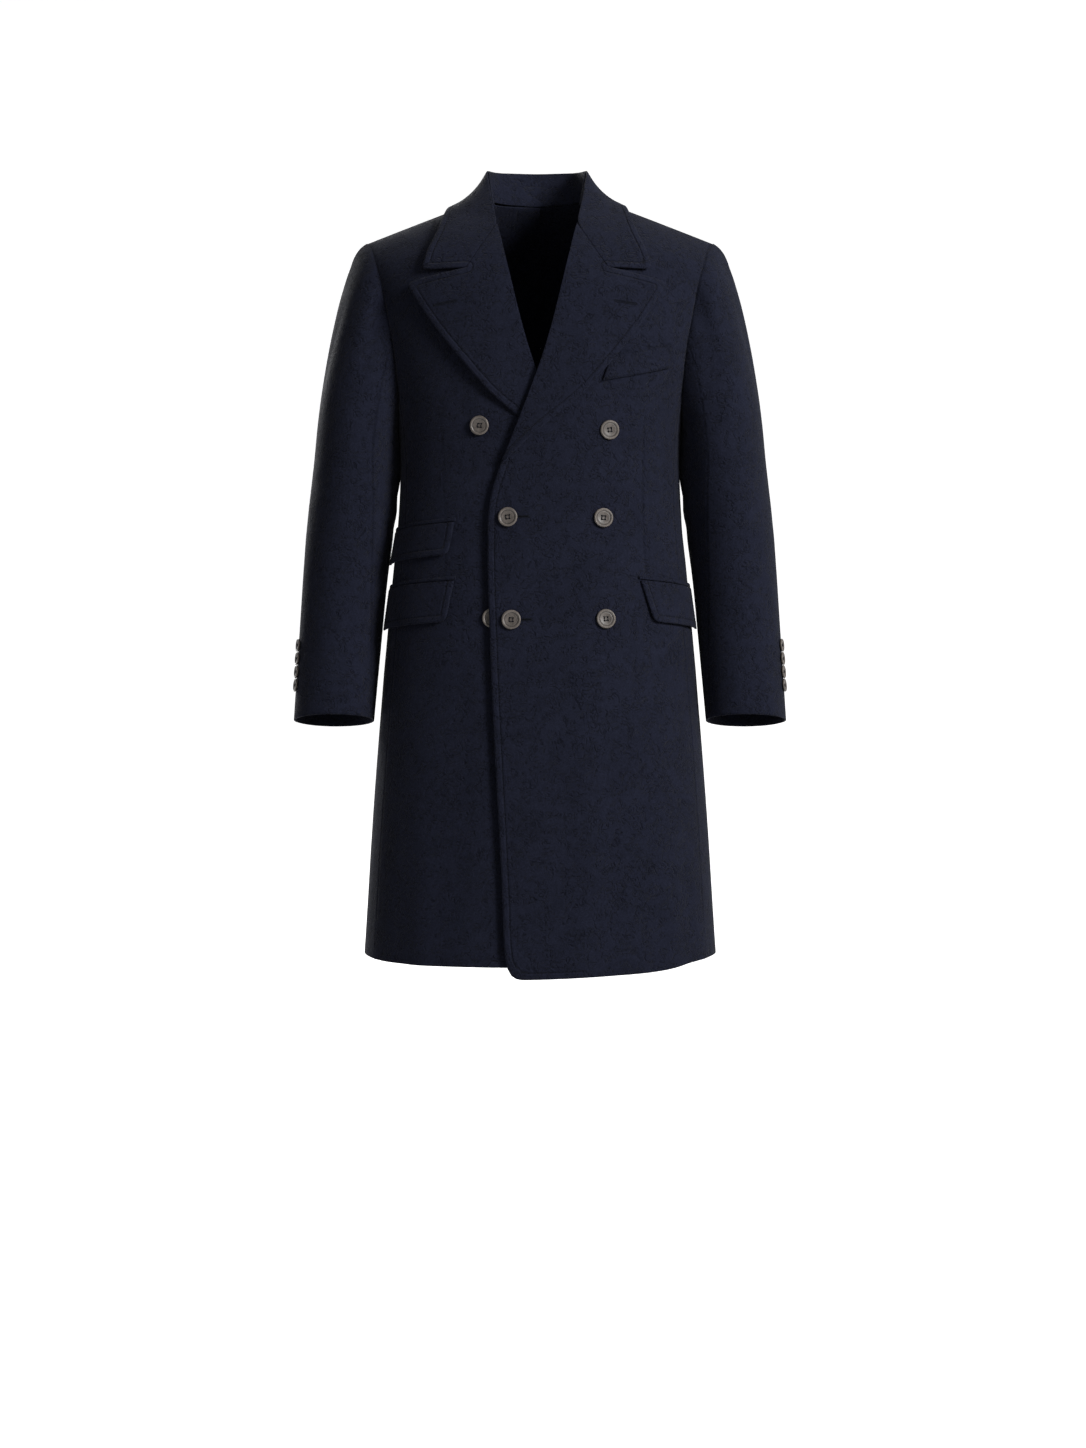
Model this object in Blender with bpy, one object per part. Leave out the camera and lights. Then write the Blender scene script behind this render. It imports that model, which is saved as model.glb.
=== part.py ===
"""A double-breasted wool overcoat with peak lapels, in the hollow form that it has when worn.

+Z is up, the wearer faces -Y and the wearer's left is +X. The origin is where the wearer holds the
coat up: between the shoulders, at the height where the neck meets them. Every size in the tables is
in millimetres; the meshes are made in metres. Each piece of cloth is a thin closed wall, and the
pieces lie SEAM_GAP apart where they are sewn.
"""

import math

import bmesh
import bpy
from mathutils import Matrix, Vector

for leftover in list(bpy.data.objects):
    bpy.data.objects.remove(leftover, do_unlink=True)

MM = 0.001

# Cloth
CLOTH = 2.4                 # thickness of the body, sleeves and collar stand
FACED = 3.0                 # thickness of lapels, collar fall, flaps and welt, which are faced
SEAM_GAP = 0.3
OVERLAP = 7.6               # how far the left front stands off the right front below it

# Body: sections at a level. Levels follow the shoulder slope above the underarm.
UNDERARM = -305.0
RIDGE = 26.0                # level of the shoulder seam
SHOULDER_SLOPE = 0.40
SLOPE_BLEND = 40.0          # the slope begins softly, over about this distance from the centre
SQUARENESS = 2.4            # of a section of the body: 2 would be an ellipse in plan
SHOULDER_SQUARENESS = 5.0   # and of the shoulders
SHOULDERS_FROM = -90.0
ROUND_FROM = -120.0         # above this level the chest and back round over to the shoulder
ROUND_POWER = 1.55
ARM_SEAM_LEVEL = -255.0     # where the side seams meet the armhole
ARM_SEAM_SPREAD = 18.5      # degrees from the side, there
NECK_CENTRE = -4.0          # collar and lapels sit this far to the wearer's right
STEEP = 5.0                 # millimetres a degree: by the centre back, where angles crowd together,
NUDGE_STEPS = 24            # a distance is closed in on in this many steps

# level, half width, front depth, back depth
BODY = (
    (-1035, 240.0, 153, 152),
    (-990, 237.0, 151, 149),
    (-937, 233.5, 148, 146),
    (-817, 226.0, 144, 140),
    (-662, 213.0, 137, 131),
    (-590, 206.0, 131, 126),
    (-504, 198.5, 124, 113),
    (-440, 191.5, 119, 102),
    (-368, 187.0, 117, 96),
    (-305, 189.0, 121, 104),
    (-205, 204.0, 127, 117),
    (-110, 217.0, 128, 121),
    (26, 231.0, 124, 118),
)

# Rows of the body's walls. The lowest row is the hem.
SKIRT_ROWS = (-935, -860, -785, -712, -640, -575, -520, -475, -435, -395, -350, -302)
CHEST_ROWS = (-210, -167, -126, -87, -52, -22, -4, 4, 13, 21.5)

# level, angle of the front of the armhole, angle of its back. 0 is centre front, 180 centre back.
ARMHOLE = (
    (-255, 71.5, 108.5),
    (-210, 68.0, 112.0),
    (-167, 66.5, 113.5),
    (-126, 66.5, 113.5),
    (-87, 67.5, 112.5),
    (-52, 64.5, 115.5),
    (-22, 65.5, 114.5),
    (0, 67.5, 112.5),
    (14, 71.0, 109.0),
    (22, 77.0, 103.0),
    (26, 90.0, 90.0),
)

# level, angle of the side-front seam, angle of the side-back seam
SIDE_SEAMS = (
    (-1035, 64.5, 118.0),
    (-700, 65.0, 117.0),
    (-430, 67.0, 114.5),
    (-255, 71.5, 108.5),
)

# angle, height of the hem on the wearer's left, and on the right, where the coat hangs shorter
HEM = (
    (-20, -1028.5, -1011),
    (0, -1026, -1011),
    (17, -1022, -1010.5),
    (31, -1019, -1010),
    (39, -1016.5, -1009.5),
    (58, -1006, -1006),
    (90, -998, -998),
    (180, -1000, -1000),
)

# height, how far a front reaches past the neck centre: its edge, and above it the fold of the lapel
FRONT_EDGE = (
    (-1030, 41),
    (-928, 43.5),
    (-796, 50.5),
    (-664, 57),
    (-532, 62),
    (-457, 63.5),
    (-414, 63),
    (-386, 58),
    (-353, 45.5),
    (-300, 24.5),
    (-237, 0.5),
    (-183, -17),
    (-76, -43),
    (-38, -52),
    (-14, -62),
    (8.4, -74),
)

# Soft folds of the skirt: angle, half spread in degrees, depth at the hem, level where it begins
FOLDS = (
    (-47, 9, 4.5, -620),
    (-31, 7, 2.5, -690),
    (21, 8, 2.5, -700),
    (36, 8, 3.5, -640),
    (53, 7, 3.0, -600),
    (141, 11, 6.0, -610),
    (163, 9, 3.5, -680),
    (-148, 11, 6.5, -590),
    (-168, 8, 3.0, -700),
    (90, 10, 2.5, -760),
    (-88, 10, 3.0, -740),
)
HEM_LEVEL = -1010.0

NECK_HALF = 74.0            # half width of the neck at the shoulder seam
NECK_BACK_LEVEL = 4.0       # level of the back neck at the centre

# Lapel: distance from the neck centre towards its own side, height
GORGE = (52.0, -38.0)       # where the collar, the lapel and the fold meet
NOTCH = (90.5, -100.5)
PEAK = (169.0, -115.5)
COLLAR_TIP = (147.0, -102.0)
GORGE_GAP = (0.17, 0.10)    # half the gap across the gorge seam, sideways and up
LAPEL_END = -350.0
# height, distance from the neck centre: the outer edge of a lapel, from its end up to the peak
LAPEL_EDGE = (
    (-368, -51.0),
    (-343, -33.5),
    (-324, -13.5),
    (-300, 14.5),
    (-269, 53.3),
    (-219, 96.5),
    (-177, 130.0),
    (-121, 168.5),
)
EDGE_LIFT = 5.0             # how far the edge of a lapel or the collar stands off what it lies on
LAPEL_ROWS = 14
LAPEL_COLUMNS = 7           # an odd number, so that a column runs to the notch

# Collar, in stations from its front end (0) to the centre back (8). Columns: station, x y z of the
# fold, x and z of the outer edge, 1 if that edge is behind the shoulder, how far the fall sags
# towards the shoulder, how much it follows the bent front end, level of the neck seam. Each x is
# measured from the neck centre.
COLLAR = (
    (0, 52.0, -79, -38, 147, -102, 0, 0, 1.0, -28),
    (1, 56.5, -61, -15, 143, -80, 0, 0, 0.4, -7),
    (2, 60.5, -41, 6, 132, -57, 0, 1, 0.1, 9),
    (3, 63.5, -20, 27, 123, -32, 0, 4, 0, 20.4),
    (4, 65.5, 0, 45, 114, -6.3, 0, 8, 0, 26),
    (5, 58.5, 29, 48, 104, -14, 1, 7, 0, 17),
    (6, 44.0, 48, 50, 85, -20, 1, 4, 0, 10.5),
    (7, 23.0, 59, 51, 48, -18, 1, 1, 0, 6),
    (8, 0.0, 62, 51, 0, -14, 1, 0, 0, 4),
)
COLLAR_HALF_COLUMNS = 15
COLLAR_ROWS = 7             # odd, so that a row runs to the notch
STAND_FROM = 1.4            # station where the collar stand begins
STAND_ROWS = 4


def mix(start, end, share):
    """The value that lies the given share of the way from start to end."""
    return start + (end - start) * share


def ease(value, start, end):
    """0 before start, 1 after end and a soft step between them."""
    share = min(max((value - start) / (end - start), 0.0), 1.0)
    return share * share * (3.0 - 2.0 * share)


def read(table, at):
    """The columns of a table at one place, on a smooth curve through its rows."""
    last = len(table) - 1
    at = min(max(at, table[0][0]), table[last][0])
    row = 0
    while row < last - 1 and at > table[row + 1][0]:
        row += 1
    step = table[row + 1][0] - table[row][0]
    share = (at - table[row][0]) / step

    def slope(index, column):
        before, after = max(index - 1, 0), min(index + 1, last)
        rise = table[after][column] - table[before][column]
        return rise / (table[after][0] - table[before][0])

    values = []
    for column in range(1, len(table[0])):
        near, far = table[row][column], table[row + 1][column]
        square, cube = share * share, share * share * share
        values.append((2 * cube - 3 * square + 1) * near + (3 * square - 2 * cube) * far
                      + (cube - 2 * square + share) * step * slope(row, column)
                      + (cube - square) * step * slope(row + 1, column))
    return values


def squareness(level):
    """How square a section of the body is: the shoulders are squarer than the rest."""
    return mix(SQUARENESS, SHOULDER_SQUARENESS, ease(level, SHOULDERS_FROM, RIDGE - 10.0))


def fold_depth(angle, level):
    """How far the skirt's soft folds draw the cloth in at a place."""
    depth = 0.0
    for centre, spread, deep, start in FOLDS:
        away = abs(angle - centre) / spread
        if away < 1.0 and level < start:
            depth += deep * (start - level) / (start - HEM_LEVEL) * (1.0 - away * away) ** 2
    return depth


def slope_drop(x, level):
    """How far the shoulder slope lowers a place at a distance from the centre plane."""
    run = math.hypot(x, SLOPE_BLEND) - SLOPE_BLEND
    return SHOULDER_SLOPE * run * ease(level, UNDERARM, RIDGE)


def skin(angle, level):
    """The body's outer surface. The angle runs from the centre front, positive to the left."""
    width, front, back = read(BODY, level)
    rise = min(max((level - ROUND_FROM) / (RIDGE - ROUND_FROM), 0.0), 1.0)
    rounding = (1.0 - rise ** ROUND_POWER) ** (1.0 / ROUND_POWER)
    side, ahead = math.sin(math.radians(angle)), math.cos(math.radians(angle))
    bow = 2.0 / squareness(level)
    drawn = 1.0 - fold_depth(angle, level) / width
    x = width * math.copysign(abs(side) ** bow, side) * drawn
    depth = (front if ahead > 0 else back) * rounding * drawn
    y = -depth * math.copysign(abs(ahead) ** bow, ahead)
    return Vector((x, y, level - slope_drop(x, level)))


def outward(angle, level):
    """The direction straight out of the cloth at a place on the body."""
    if level > RIDGE - 0.5:
        return Vector((math.copysign(SHOULDER_SLOPE, angle), 0.0, 1.0)).normalized()
    across = skin(angle + 0.5, level) - skin(angle - 0.5, level)
    along = skin(angle, level + 0.5) - skin(angle, level - 0.5)
    return across.cross(along).normalized()


def nudge(angle, level, distance):
    """The angle that lies a distance further round the body."""
    degree = (skin(angle + 0.5, level) - skin(angle - 0.5, level)).length
    turn = distance / max(degree, 1.0)
    if degree > STEEP and distance:
        for _ in range(NUDGE_STEPS):
            moved = (skin(angle + turn, level) - skin(angle, level)).length
            turn *= abs(distance) / moved
    return angle + turn


def angle_at(x, level):
    """The angle on the front of the body at a distance from its centre plane."""
    share = min(abs(x) / read(BODY, level)[0], 1.0)
    return math.copysign(math.degrees(math.asin(share ** (squareness(level) / 2.0))), x)


def place_at(x, z):
    """The angle and level of a point on the front, from where it shows from straight ahead."""
    level = z
    for _ in range(30):
        level = z + slope_drop(x, level)
    return angle_at(x, level), level


def front_lift(x, z, left):
    """How far a front stands off the body's surface: the left one lies over the right one."""
    if not left:
        return 0.0
    return OVERLAP * (1.0 - ease(x, 62, 165)) * (1.0 - ease(z, -225, -50))


def on_front(x, z, left, off):
    """A point a distance off a front's outer face, and the direction out of the cloth there."""
    angle, level = place_at(x, z)
    out = outward(angle, level)
    return skin(angle, level) + out * (front_lift(x, z, left) + off), out


def sheet(name, outer, inner, material):
    """A closed wall of cloth between two grids of points, which are lists of rows."""
    rows, columns = len(outer), len(outer[0])
    build = bmesh.new()
    skins = []
    for grid in (outer, inner):
        skins.append([[build.verts.new(point * MM) for point in row] for row in grid])
    for verts in skins:
        for row in range(rows - 1):
            for column in range(columns - 1):
                build.faces.new((verts[row][column], verts[row][column + 1],
                                 verts[row + 1][column + 1], verts[row + 1][column]))
    border = [(0, column) for column in range(columns - 1)]
    border += [(row, columns - 1) for row in range(rows - 1)]
    border += [(rows - 1, column) for column in range(columns - 1, 0, -1)]
    border += [(row, 0) for row in range(rows - 1, 0, -1)]
    for index, here in enumerate(border):
        there = border[(index + 1) % len(border)]
        build.faces.new([skins[0][here[0]][here[1]], skins[0][there[0]][there[1]],
                         skins[1][there[0]][there[1]], skins[1][here[0]][here[1]]])
    bmesh.ops.recalc_face_normals(build, faces=build.faces[:])
    return finish(name, build, material)


def finish(name, build, material):
    """Turn a bmesh into a named, shaded object."""
    mesh = bpy.data.meshes.new(name)
    bmesh.ops.triangulate(build, faces=build.faces[:])
    build.to_mesh(mesh)
    build.free()
    mesh.materials.append(material)
    mesh.shade_smooth()
    mesh.set_sharp_from_angle(angle=math.radians(40))
    piece = bpy.data.objects.new(name, mesh)
    bpy.context.scene.collection.objects.link(piece)
    piece.parent = coat
    return piece


def material(name, colour, roughness):
    """A plain Principled material."""
    made = bpy.data.materials.new(name)
    made.use_nodes = True
    shader = made.node_tree.nodes["Principled BSDF"]
    shader.inputs["Base Color"].default_value = (*colour, 1.0)
    shader.inputs["Roughness"].default_value = roughness
    shader.inputs["Metallic"].default_value = 0.0
    return made


coat = bpy.data.objects.new("coat", None)
bpy.context.scene.collection.objects.link(coat)
WOOL = material("navy_wool", (0.012, 0.015, 0.030), 0.9)
HORN = material("brown_horn", (0.070, 0.055, 0.047), 0.4)


# ---------------------------------------------------------------- fronts, sides and backs
FRONT_COLUMNS = 14
BACK_COLUMNS = 10
SIDE_COLUMNS = 7
ALL_ROWS = (None,) + SKIRT_ROWS + (ARM_SEAM_LEVEL,) + CHEST_ROWS + (RIDGE,)   # None is the hem
SIDE_FIXED = -350           # above this row the side panel is shaped to the underarm


def edge_angle(level, left):
    """The angle where a front ends: at its edge, at the fold of its lapel or at the neck."""
    side = 1.0 if left else -1.0
    height = level
    for _ in range(30):
        x = NECK_CENTRE - side * read(FRONT_EDGE, height)[0]
        height = level - slope_drop(x, level)
    return angle_at(x, level)


def back_edge_angle(level, left):
    """The angle where a back ends: at the centre back seam or at the neck."""
    side = 1.0 if left else -1.0
    open_share = max(level - NECK_BACK_LEVEL, 0.0) / (RIDGE - NECK_BACK_LEVEL)
    x = NECK_CENTRE * min(open_share * 4.0, 1.0) + side * NECK_HALF * math.sqrt(open_share)
    return side * 180.0 - angle_at(x, level)


def outer_angle(level, left, back):
    """The angle of a panel's outer side: the side seam, and above it the armhole."""
    table = ARMHOLE if level >= ARM_SEAM_LEVEL else SIDE_SEAMS
    return read(table, level)[1 if back else 0] * (1.0 if left else -1.0)


def panel_rows(levels, first, last, columns, front, left):
    """The outer and inner grids of a panel that spans from one angle to another at each level."""
    outer, inner = [], []
    for given in levels:
        level = HEM_LEVEL if given is None else given
        gap = SEAM_GAP / 2.0 if left else -SEAM_GAP / 2.0
        start = nudge(first(level), level, gap if front else -gap)
        end = nudge(last(level), level, -gap if front else gap)
        outer.append([])
        inner.append([])
        for column in range(columns):
            angle = mix(start, end, column / (columns - 1))
            if given is None:
                level = read(HEM, angle if left else -angle)[0 if left else 1]
            out = outward(angle, level)
            point = skin(angle, level)
            if front:
                point += out * front_lift(point.x, point.z, left)
            if given == RIDGE:
                point.y += -SEAM_GAP / 2.0 if front else SEAM_GAP / 2.0
            outer[-1].append(point)
            inner[-1].append(point - out * CLOTH)
    return outer, inner


def underarm_level(share):
    """The level of the underarm curve, from the side-front seam to the side-back seam."""
    return UNDERARM + (ARM_SEAM_LEVEL - UNDERARM) * (2.0 * share - 1.0) ** 2


def side_panel(name, left):
    """The panel under the arm, whose top edge is the underarm curve."""
    side = 1.0 if left else -1.0
    outer, inner = [], []
    for given in ALL_ROWS[:len(SKIRT_ROWS) + 2]:
        outer.append([])
        inner.append([])
        for column in range(SIDE_COLUMNS):
            share = column / (SIDE_COLUMNS - 1)
            row_level = HEM_LEVEL if given is None else given
            seams = read(SIDE_SEAMS, row_level)
            angle = side * mix(seams[0], seams[1], share)
            inset = side * SEAM_GAP / 2.0 * (1 if column == 0 else -1 if share == 1 else 0)
            angle = nudge(angle, row_level, inset)
            level = row_level
            if given is None:
                level = read(HEM, abs(angle))[0 if left else 1]
            elif given > SIDE_FIXED:
                rise = (given - SIDE_FIXED) / (ARM_SEAM_LEVEL - SIDE_FIXED)
                level = mix(SIDE_FIXED, underarm_level(share) - SEAM_GAP / 2.0, rise)
            out = outward(angle, level)
            outer[-1].append(skin(angle, level))
            inner[-1].append(skin(angle, level) - out * CLOTH)
    return sheet(name, outer, inner, WOOL)


for word, is_left in (("left", True), ("right", False)):
    grids = panel_rows(ALL_ROWS, lambda level: edge_angle(level, is_left),
                       lambda level: outer_angle(level, is_left, False),
                       FRONT_COLUMNS, True, is_left)
    sheet("front_" + word, *grids, WOOL)
    grids = panel_rows(ALL_ROWS, lambda level: back_edge_angle(level, is_left),
                       lambda level: outer_angle(level, is_left, True),
                       BACK_COLUMNS, False, is_left)
    sheet("back_" + word, *grids, WOOL)
    side_panel("side_" + word, is_left)


# ---------------------------------------------------------------- sleeves
TUBE_TOP = -341.0           # below this height a sleeve is a tube
CAP_ROWS = 8
TUBE_ROWS = 9
HIND_SEAM = 8               # place of the hind seam on the ring of points, from the shoulder back
FRONT_SEAM = 19             # place of the front seam
HIND_SEAM_AT_CUFF = 15.0    # angles round the cuff: 0 is outwards, 90 back
FRONT_SEAM_AT_CUFF = 205.0
CUFF_TILT = 0.157           # the cuff is higher in front
HEAD_LIFT = 0.35            # how far the sleeve stands proud of the body at the armhole

# The sleeve cap's curves, at the underarm and at the shoulder
CAP_LEAVE = ((0.25, -1.0), (1.0, 0.12))     # sideways and up: how a curve leaves the armhole
CAP_PULL = (35.0, 90.0)     # how strongly it keeps to that direction
CAP_SWELL = 0.35            # how much the head swells forwards and backwards
CAP_ARRIVE = 0.05           # how far out a curve still slants where it joins the tube, per unit down

# height, centre x, half width, centre y, half depth
SLEEVE = (
    (-690, 274.0, 54.0, -27, 54),
    (-653, 272.0, 54.2, -20, 56),
    (-584, 268.0, 54.7, -9, 59),
    (-494, 262.0, 56.0, 1, 64),
    (-418, 253.5, 58.0, 3, 70),
    (-341, 246.0, 56.5, 2, 77),
)


def armhole_ring():
    """Angle and level of the points round the left armhole, from the shoulder back and under."""
    ring = [(90.0, RIDGE, 0.0)]
    ring += [(read(ARMHOLE, level)[1], level, -1.0) for level in reversed(CHEST_ROWS)]
    ring.append((90.0 + ARM_SEAM_SPREAD, ARM_SEAM_LEVEL, -1.0))
    for column in range(SIDE_COLUMNS - 2, 0, -1):
        share = column / (SIDE_COLUMNS - 1)
        ring.append((90.0 + ARM_SEAM_SPREAD * (2.0 * share - 1.0), underarm_level(share), 0.0))
    ring.append((90.0 - ARM_SEAM_SPREAD, ARM_SEAM_LEVEL, 1.0))
    ring += [(read(ARMHOLE, level)[0], level, 1.0) for level in CHEST_ROWS]
    return ring


RING = armhole_ring()
LOWEST_ON_RING = len(CHEST_ROWS) + 1 + SIDE_COLUMNS // 2


def ring_start(index):
    """Where a line of the sleeve leaves the armhole."""
    angle, level, inwards = RING[index % len(RING)]
    angle = nudge(angle, level, inwards * SEAM_GAP / 2.0)
    if inwards == 0.0 and level < RIDGE:
        level += SEAM_GAP / 2.0
    start = skin(angle, level) + outward(angle, level) * HEAD_LIFT
    if level == RIDGE:
        start.x += 4.0 * SEAM_GAP
    return start


def tube_surface(turn, height):
    """A point of the left sleeve's tube, at an angle from outwards round to the back."""
    down = (TUBE_TOP - height) / (TUBE_TOP - SLEEVE[0][0])
    angle = math.radians(turn)
    centre_x, half_width, centre_y, half_depth = read(SLEEVE, height)
    y = half_depth * math.sin(angle)
    return Vector((centre_x + half_width * math.cos(angle), centre_y + y,
                   height - CUFF_TILT * down * y))


def tube_point(index, height):
    """A point of the tube on one line of the sleeve, which turns with the seams on the way down."""
    count = len(RING)
    index = index % count
    turn = 360.0 * index / count
    under = FRONT_SEAM - HIND_SEAM
    if HIND_SEAM <= index <= FRONT_SEAM:
        at_cuff = mix(HIND_SEAM_AT_CUFF, FRONT_SEAM_AT_CUFF, (index - HIND_SEAM) / under)
    else:
        past = (index - FRONT_SEAM) % count
        at_cuff = mix(FRONT_SEAM_AT_CUFF, 360.0 + HIND_SEAM_AT_CUFF, past / (count - under))
        at_cuff -= 360.0 if index < HIND_SEAM else 0.0
    down = (TUBE_TOP - height) / (TUBE_TOP - SLEEVE[0][0])
    return tube_surface(mix(turn, at_cuff, down), height)


def cap_point(index, share):
    """A point of the sleeve cap, on a curve from the armhole to the top of the tube."""
    start, end = ring_start(index), tube_point(index, TUBE_TOP)
    lowest, highest = ring_start(LOWEST_ON_RING), ring_start(0)
    rise = (start.z - lowest.z) / (highest.z - lowest.z)
    swell = math.copysign(CAP_SWELL * math.sin(math.pi * rise), start.y)
    sideways, up = (mix(CAP_LEAVE[0][axis], CAP_LEAVE[1][axis], rise * rise) for axis in (0, 1))
    leave = Vector((sideways, swell, up)).normalized() * mix(*CAP_PULL, rise)
    arrive = Vector((CAP_ARRIVE, 0.0, -1.0)) * (end - start).length
    square, cube = share * share, share ** 3
    return ((2 * cube - 3 * square + 1) * start + (cube - 2 * square + share) * leave
            + (3 * square - 2 * cube) * end + (cube - square) * arrive)


def sleeve_grid():
    """Outer points and outward directions of a left sleeve, row by row from the armhole down."""
    count = len(RING)
    points = [[cap_point(index, row / CAP_ROWS) for index in range(count)]
              for row in range(CAP_ROWS)]
    for row in range(TUBE_ROWS + 1):
        height = mix(TUBE_TOP, SLEEVE[0][0], row / TUBE_ROWS)
        points.append([tube_point(index, height) for index in range(count)])
    outs = []
    for row, line in enumerate(points):
        above, below = points[max(row - 1, 0)], points[min(row + 1, len(points) - 1)]
        outs.append([((line[(index + 1) % count] - line[index - 1])
                      .cross(above[index] - below[index])).normalized() for index in range(count)])
    return points, outs


SLEEVE_POINTS, SLEEVE_OUTS = sleeve_grid()


def sleeve_piece(name, first, last, side):
    """One of the two pieces of a sleeve, between two places on the ring."""
    outer, inner = [], []
    for points, outs in zip(SLEEVE_POINTS, SLEEVE_OUTS):
        count = len(points)
        line = [points[index % count].copy() for index in range(first, last + 1)]
        line[0] += (line[1] - line[0]).normalized() * SEAM_GAP / 2.0
        line[-1] += (line[-2] - line[-1]).normalized() * SEAM_GAP / 2.0
        outer.append([Vector((point.x * side, point.y, point.z)) for point in line])
        inside = [point - outs[(first + index) % count] * CLOTH for index, point in enumerate(line)]
        inner.append([Vector((point.x * side, point.y, point.z)) for point in inside])
    return sheet(name, outer, inner, WOOL)


for word, side in (("left", 1.0), ("right", -1.0)):
    sleeve_piece("sleeve_top_" + word, FRONT_SEAM, len(RING) + HIND_SEAM, side)
    sleeve_piece("sleeve_under_" + word, HIND_SEAM, FRONT_SEAM, side)


# ---------------------------------------------------------------- lapels
def edge_reach(z):
    """Distance of the fold of a lapel from the neck centre, towards the lapel's own side."""
    return -read(FRONT_EDGE, z)[0]


def lapel_plan(row_share, column_share):
    """A point of the lapel seen from in front: distance from the neck centre, and height."""
    fold_z = mix(GORGE[1], LAPEL_END, row_share)
    edge_z = mix(LAPEL_EDGE[-1][0], LAPEL_END, row_share)
    x = mix(edge_reach(fold_z), read(LAPEL_EDGE, edge_z)[0], column_share)
    z = mix(fold_z, edge_z, column_share)
    bend = (1.0 - row_share) ** 6
    across = 2.0 * column_share
    if across <= 1.0:
        top = [mix(GORGE[axis], NOTCH[axis], across) for axis in (0, 1)]
    else:
        top = [mix(NOTCH[axis], PEAK[axis], across - 1.0) for axis in (0, 1)]
    straight_x = mix(GORGE[0], LAPEL_EDGE[-1][1], column_share)
    straight_z = mix(GORGE[1], LAPEL_EDGE[-1][0], column_share)
    x += bend * (top[0] - straight_x - GORGE_GAP[0])
    return x, z + bend * (top[1] - straight_z - GORGE_GAP[1])


def lapel_off(x, z, column_share, left):
    """How far the inner face of a lapel stands off its front. The right one goes under the left."""
    lift = EDGE_LIFT * column_share
    if not left:
        clear = NECK_CENTRE - read(FRONT_EDGE, z)[0] - x
        lift *= ease(clear, 5.0, 55.0)
    return SEAM_GAP + lift


def lapel(name, left):
    """The turned back facing of a front, from its fold to its edge."""
    side = 1.0 if left else -1.0
    outer, inner = [], []
    for row in range(LAPEL_ROWS):
        row_share = (row / (LAPEL_ROWS - 1)) ** 1.15
        outer.append([])
        inner.append([])
        for column in range(LAPEL_COLUMNS):
            share = column / (LAPEL_COLUMNS - 1)
            away, z = lapel_plan(row_share, share)
            x = NECK_CENTRE + side * away
            point, out = on_front(x, z, left, lapel_off(x, z, share, left))
            inner[-1].append(point)
            outer[-1].append(point + out * FACED)
    return sheet(name, outer, inner, WOOL)


lapel("lapel_left", True)
lapel("lapel_right", False)


# ---------------------------------------------------------------- collar
def stand_off(point, least):
    """Move a point outwards until it is at least a distance off the body."""
    angle, level = place_at(point.x, point.z)
    if level > RIDGE - 1.0:
        return point
    if point.y > 0:
        angle = math.copysign(180.0, angle) - angle
    out = outward(angle, level)
    off = (point - skin(angle, level)).dot(out)
    return point + out * max(0.0, least - off)


def edge_place(x, z, behind):
    """A point on the body at the collar's outer edge, with the direction out of the cloth."""
    angle, level = place_at(x, z)
    level = min(level, RIDGE)
    if behind:
        angle = math.copysign(180.0, angle) - angle
    return skin(angle, level), outward(angle, level)


def fall_point(station, share, side):
    """A point on the inner face of the collar's fall, on one side."""
    row = read(COLLAR, station)
    fold = Vector((NECK_CENTRE + side * row[0], row[1], row[2]))
    place, out = edge_place(NECK_CENTRE + side * row[3], row[4], station > 4.0)
    edge = place + out * (SEAM_GAP + EDGE_LIFT)
    point = fold.lerp(edge, share) - out * row[6] * 4.0 * share * (1.0 - share)
    across = 2.0 * share
    if across <= 1.0:
        bent = [mix(GORGE[axis], NOTCH[axis], across) for axis in (0, 1)]
    else:
        bent = [mix(NOTCH[axis], COLLAR_TIP[axis], across - 1.0) for axis in (0, 1)]
    point.x += side * (row[7] * (bent[0] - mix(GORGE[0], COLLAR_TIP[0], share)) + GORGE_GAP[0])
    point.z += row[7] * (bent[1] - mix(GORGE[1], COLLAR_TIP[1], share)) + GORGE_GAP[1]
    if station == 0.0:
        return on_front(point.x, point.z, False, SEAM_GAP + EDGE_LIFT * share)[0]
    return stand_off(point, SEAM_GAP + 0.3 + EDGE_LIFT * share)


def mirrored(points):
    """A row of left points, continued across the centre back to the wearer's right."""
    flipped = [Vector((2.0 * NECK_CENTRE - point.x, point.y, point.z)) for point in points[:-1]]
    return points + flipped[::-1]


def grid_outs(grid, towards):
    """Directions square to a grid of points, on the side that faces away from a centre."""
    outs = []
    for row, line in enumerate(grid):
        outs.append([])
        for column in range(len(line)):
            across = line[min(column + 1, len(line) - 1)] - line[max(column - 1, 0)]
            down = grid[min(row + 1, len(grid) - 1)][column] - grid[max(row - 1, 0)][column]
            out = across.cross(down).normalized()
            if out.dot(line[column] - towards) < 0:
                out.negate()
            outs[-1].append(out)
    return outs


def collar_fall():
    """The fall: from the fold of the collar down over the shoulders, with its two front leaves."""
    inner = []
    for row in range(COLLAR_ROWS):
        share = row / (COLLAR_ROWS - 1)
        stations = [8.0 * column / (COLLAR_HALF_COLUMNS - 1)
                    for column in range(COLLAR_HALF_COLUMNS)]
        inner.append([fall_point(station, share, 1.0) for station in stations]
                     + [fall_point(station, share, -1.0) for station in stations[-2::-1]])
    outs = grid_outs(inner, Vector((NECK_CENTRE, 0.0, -250.0)))
    for line, directions in zip(inner, outs):
        for end in (0, -1):
            directions[end] = outward(*place_at(line[end].x, line[end].z))
    outer = [[point + out * FACED for point, out in zip(line, directions)]
             for line, directions in zip(inner, outs)]
    return sheet("collar_fall", outer, inner, WOOL)


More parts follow.
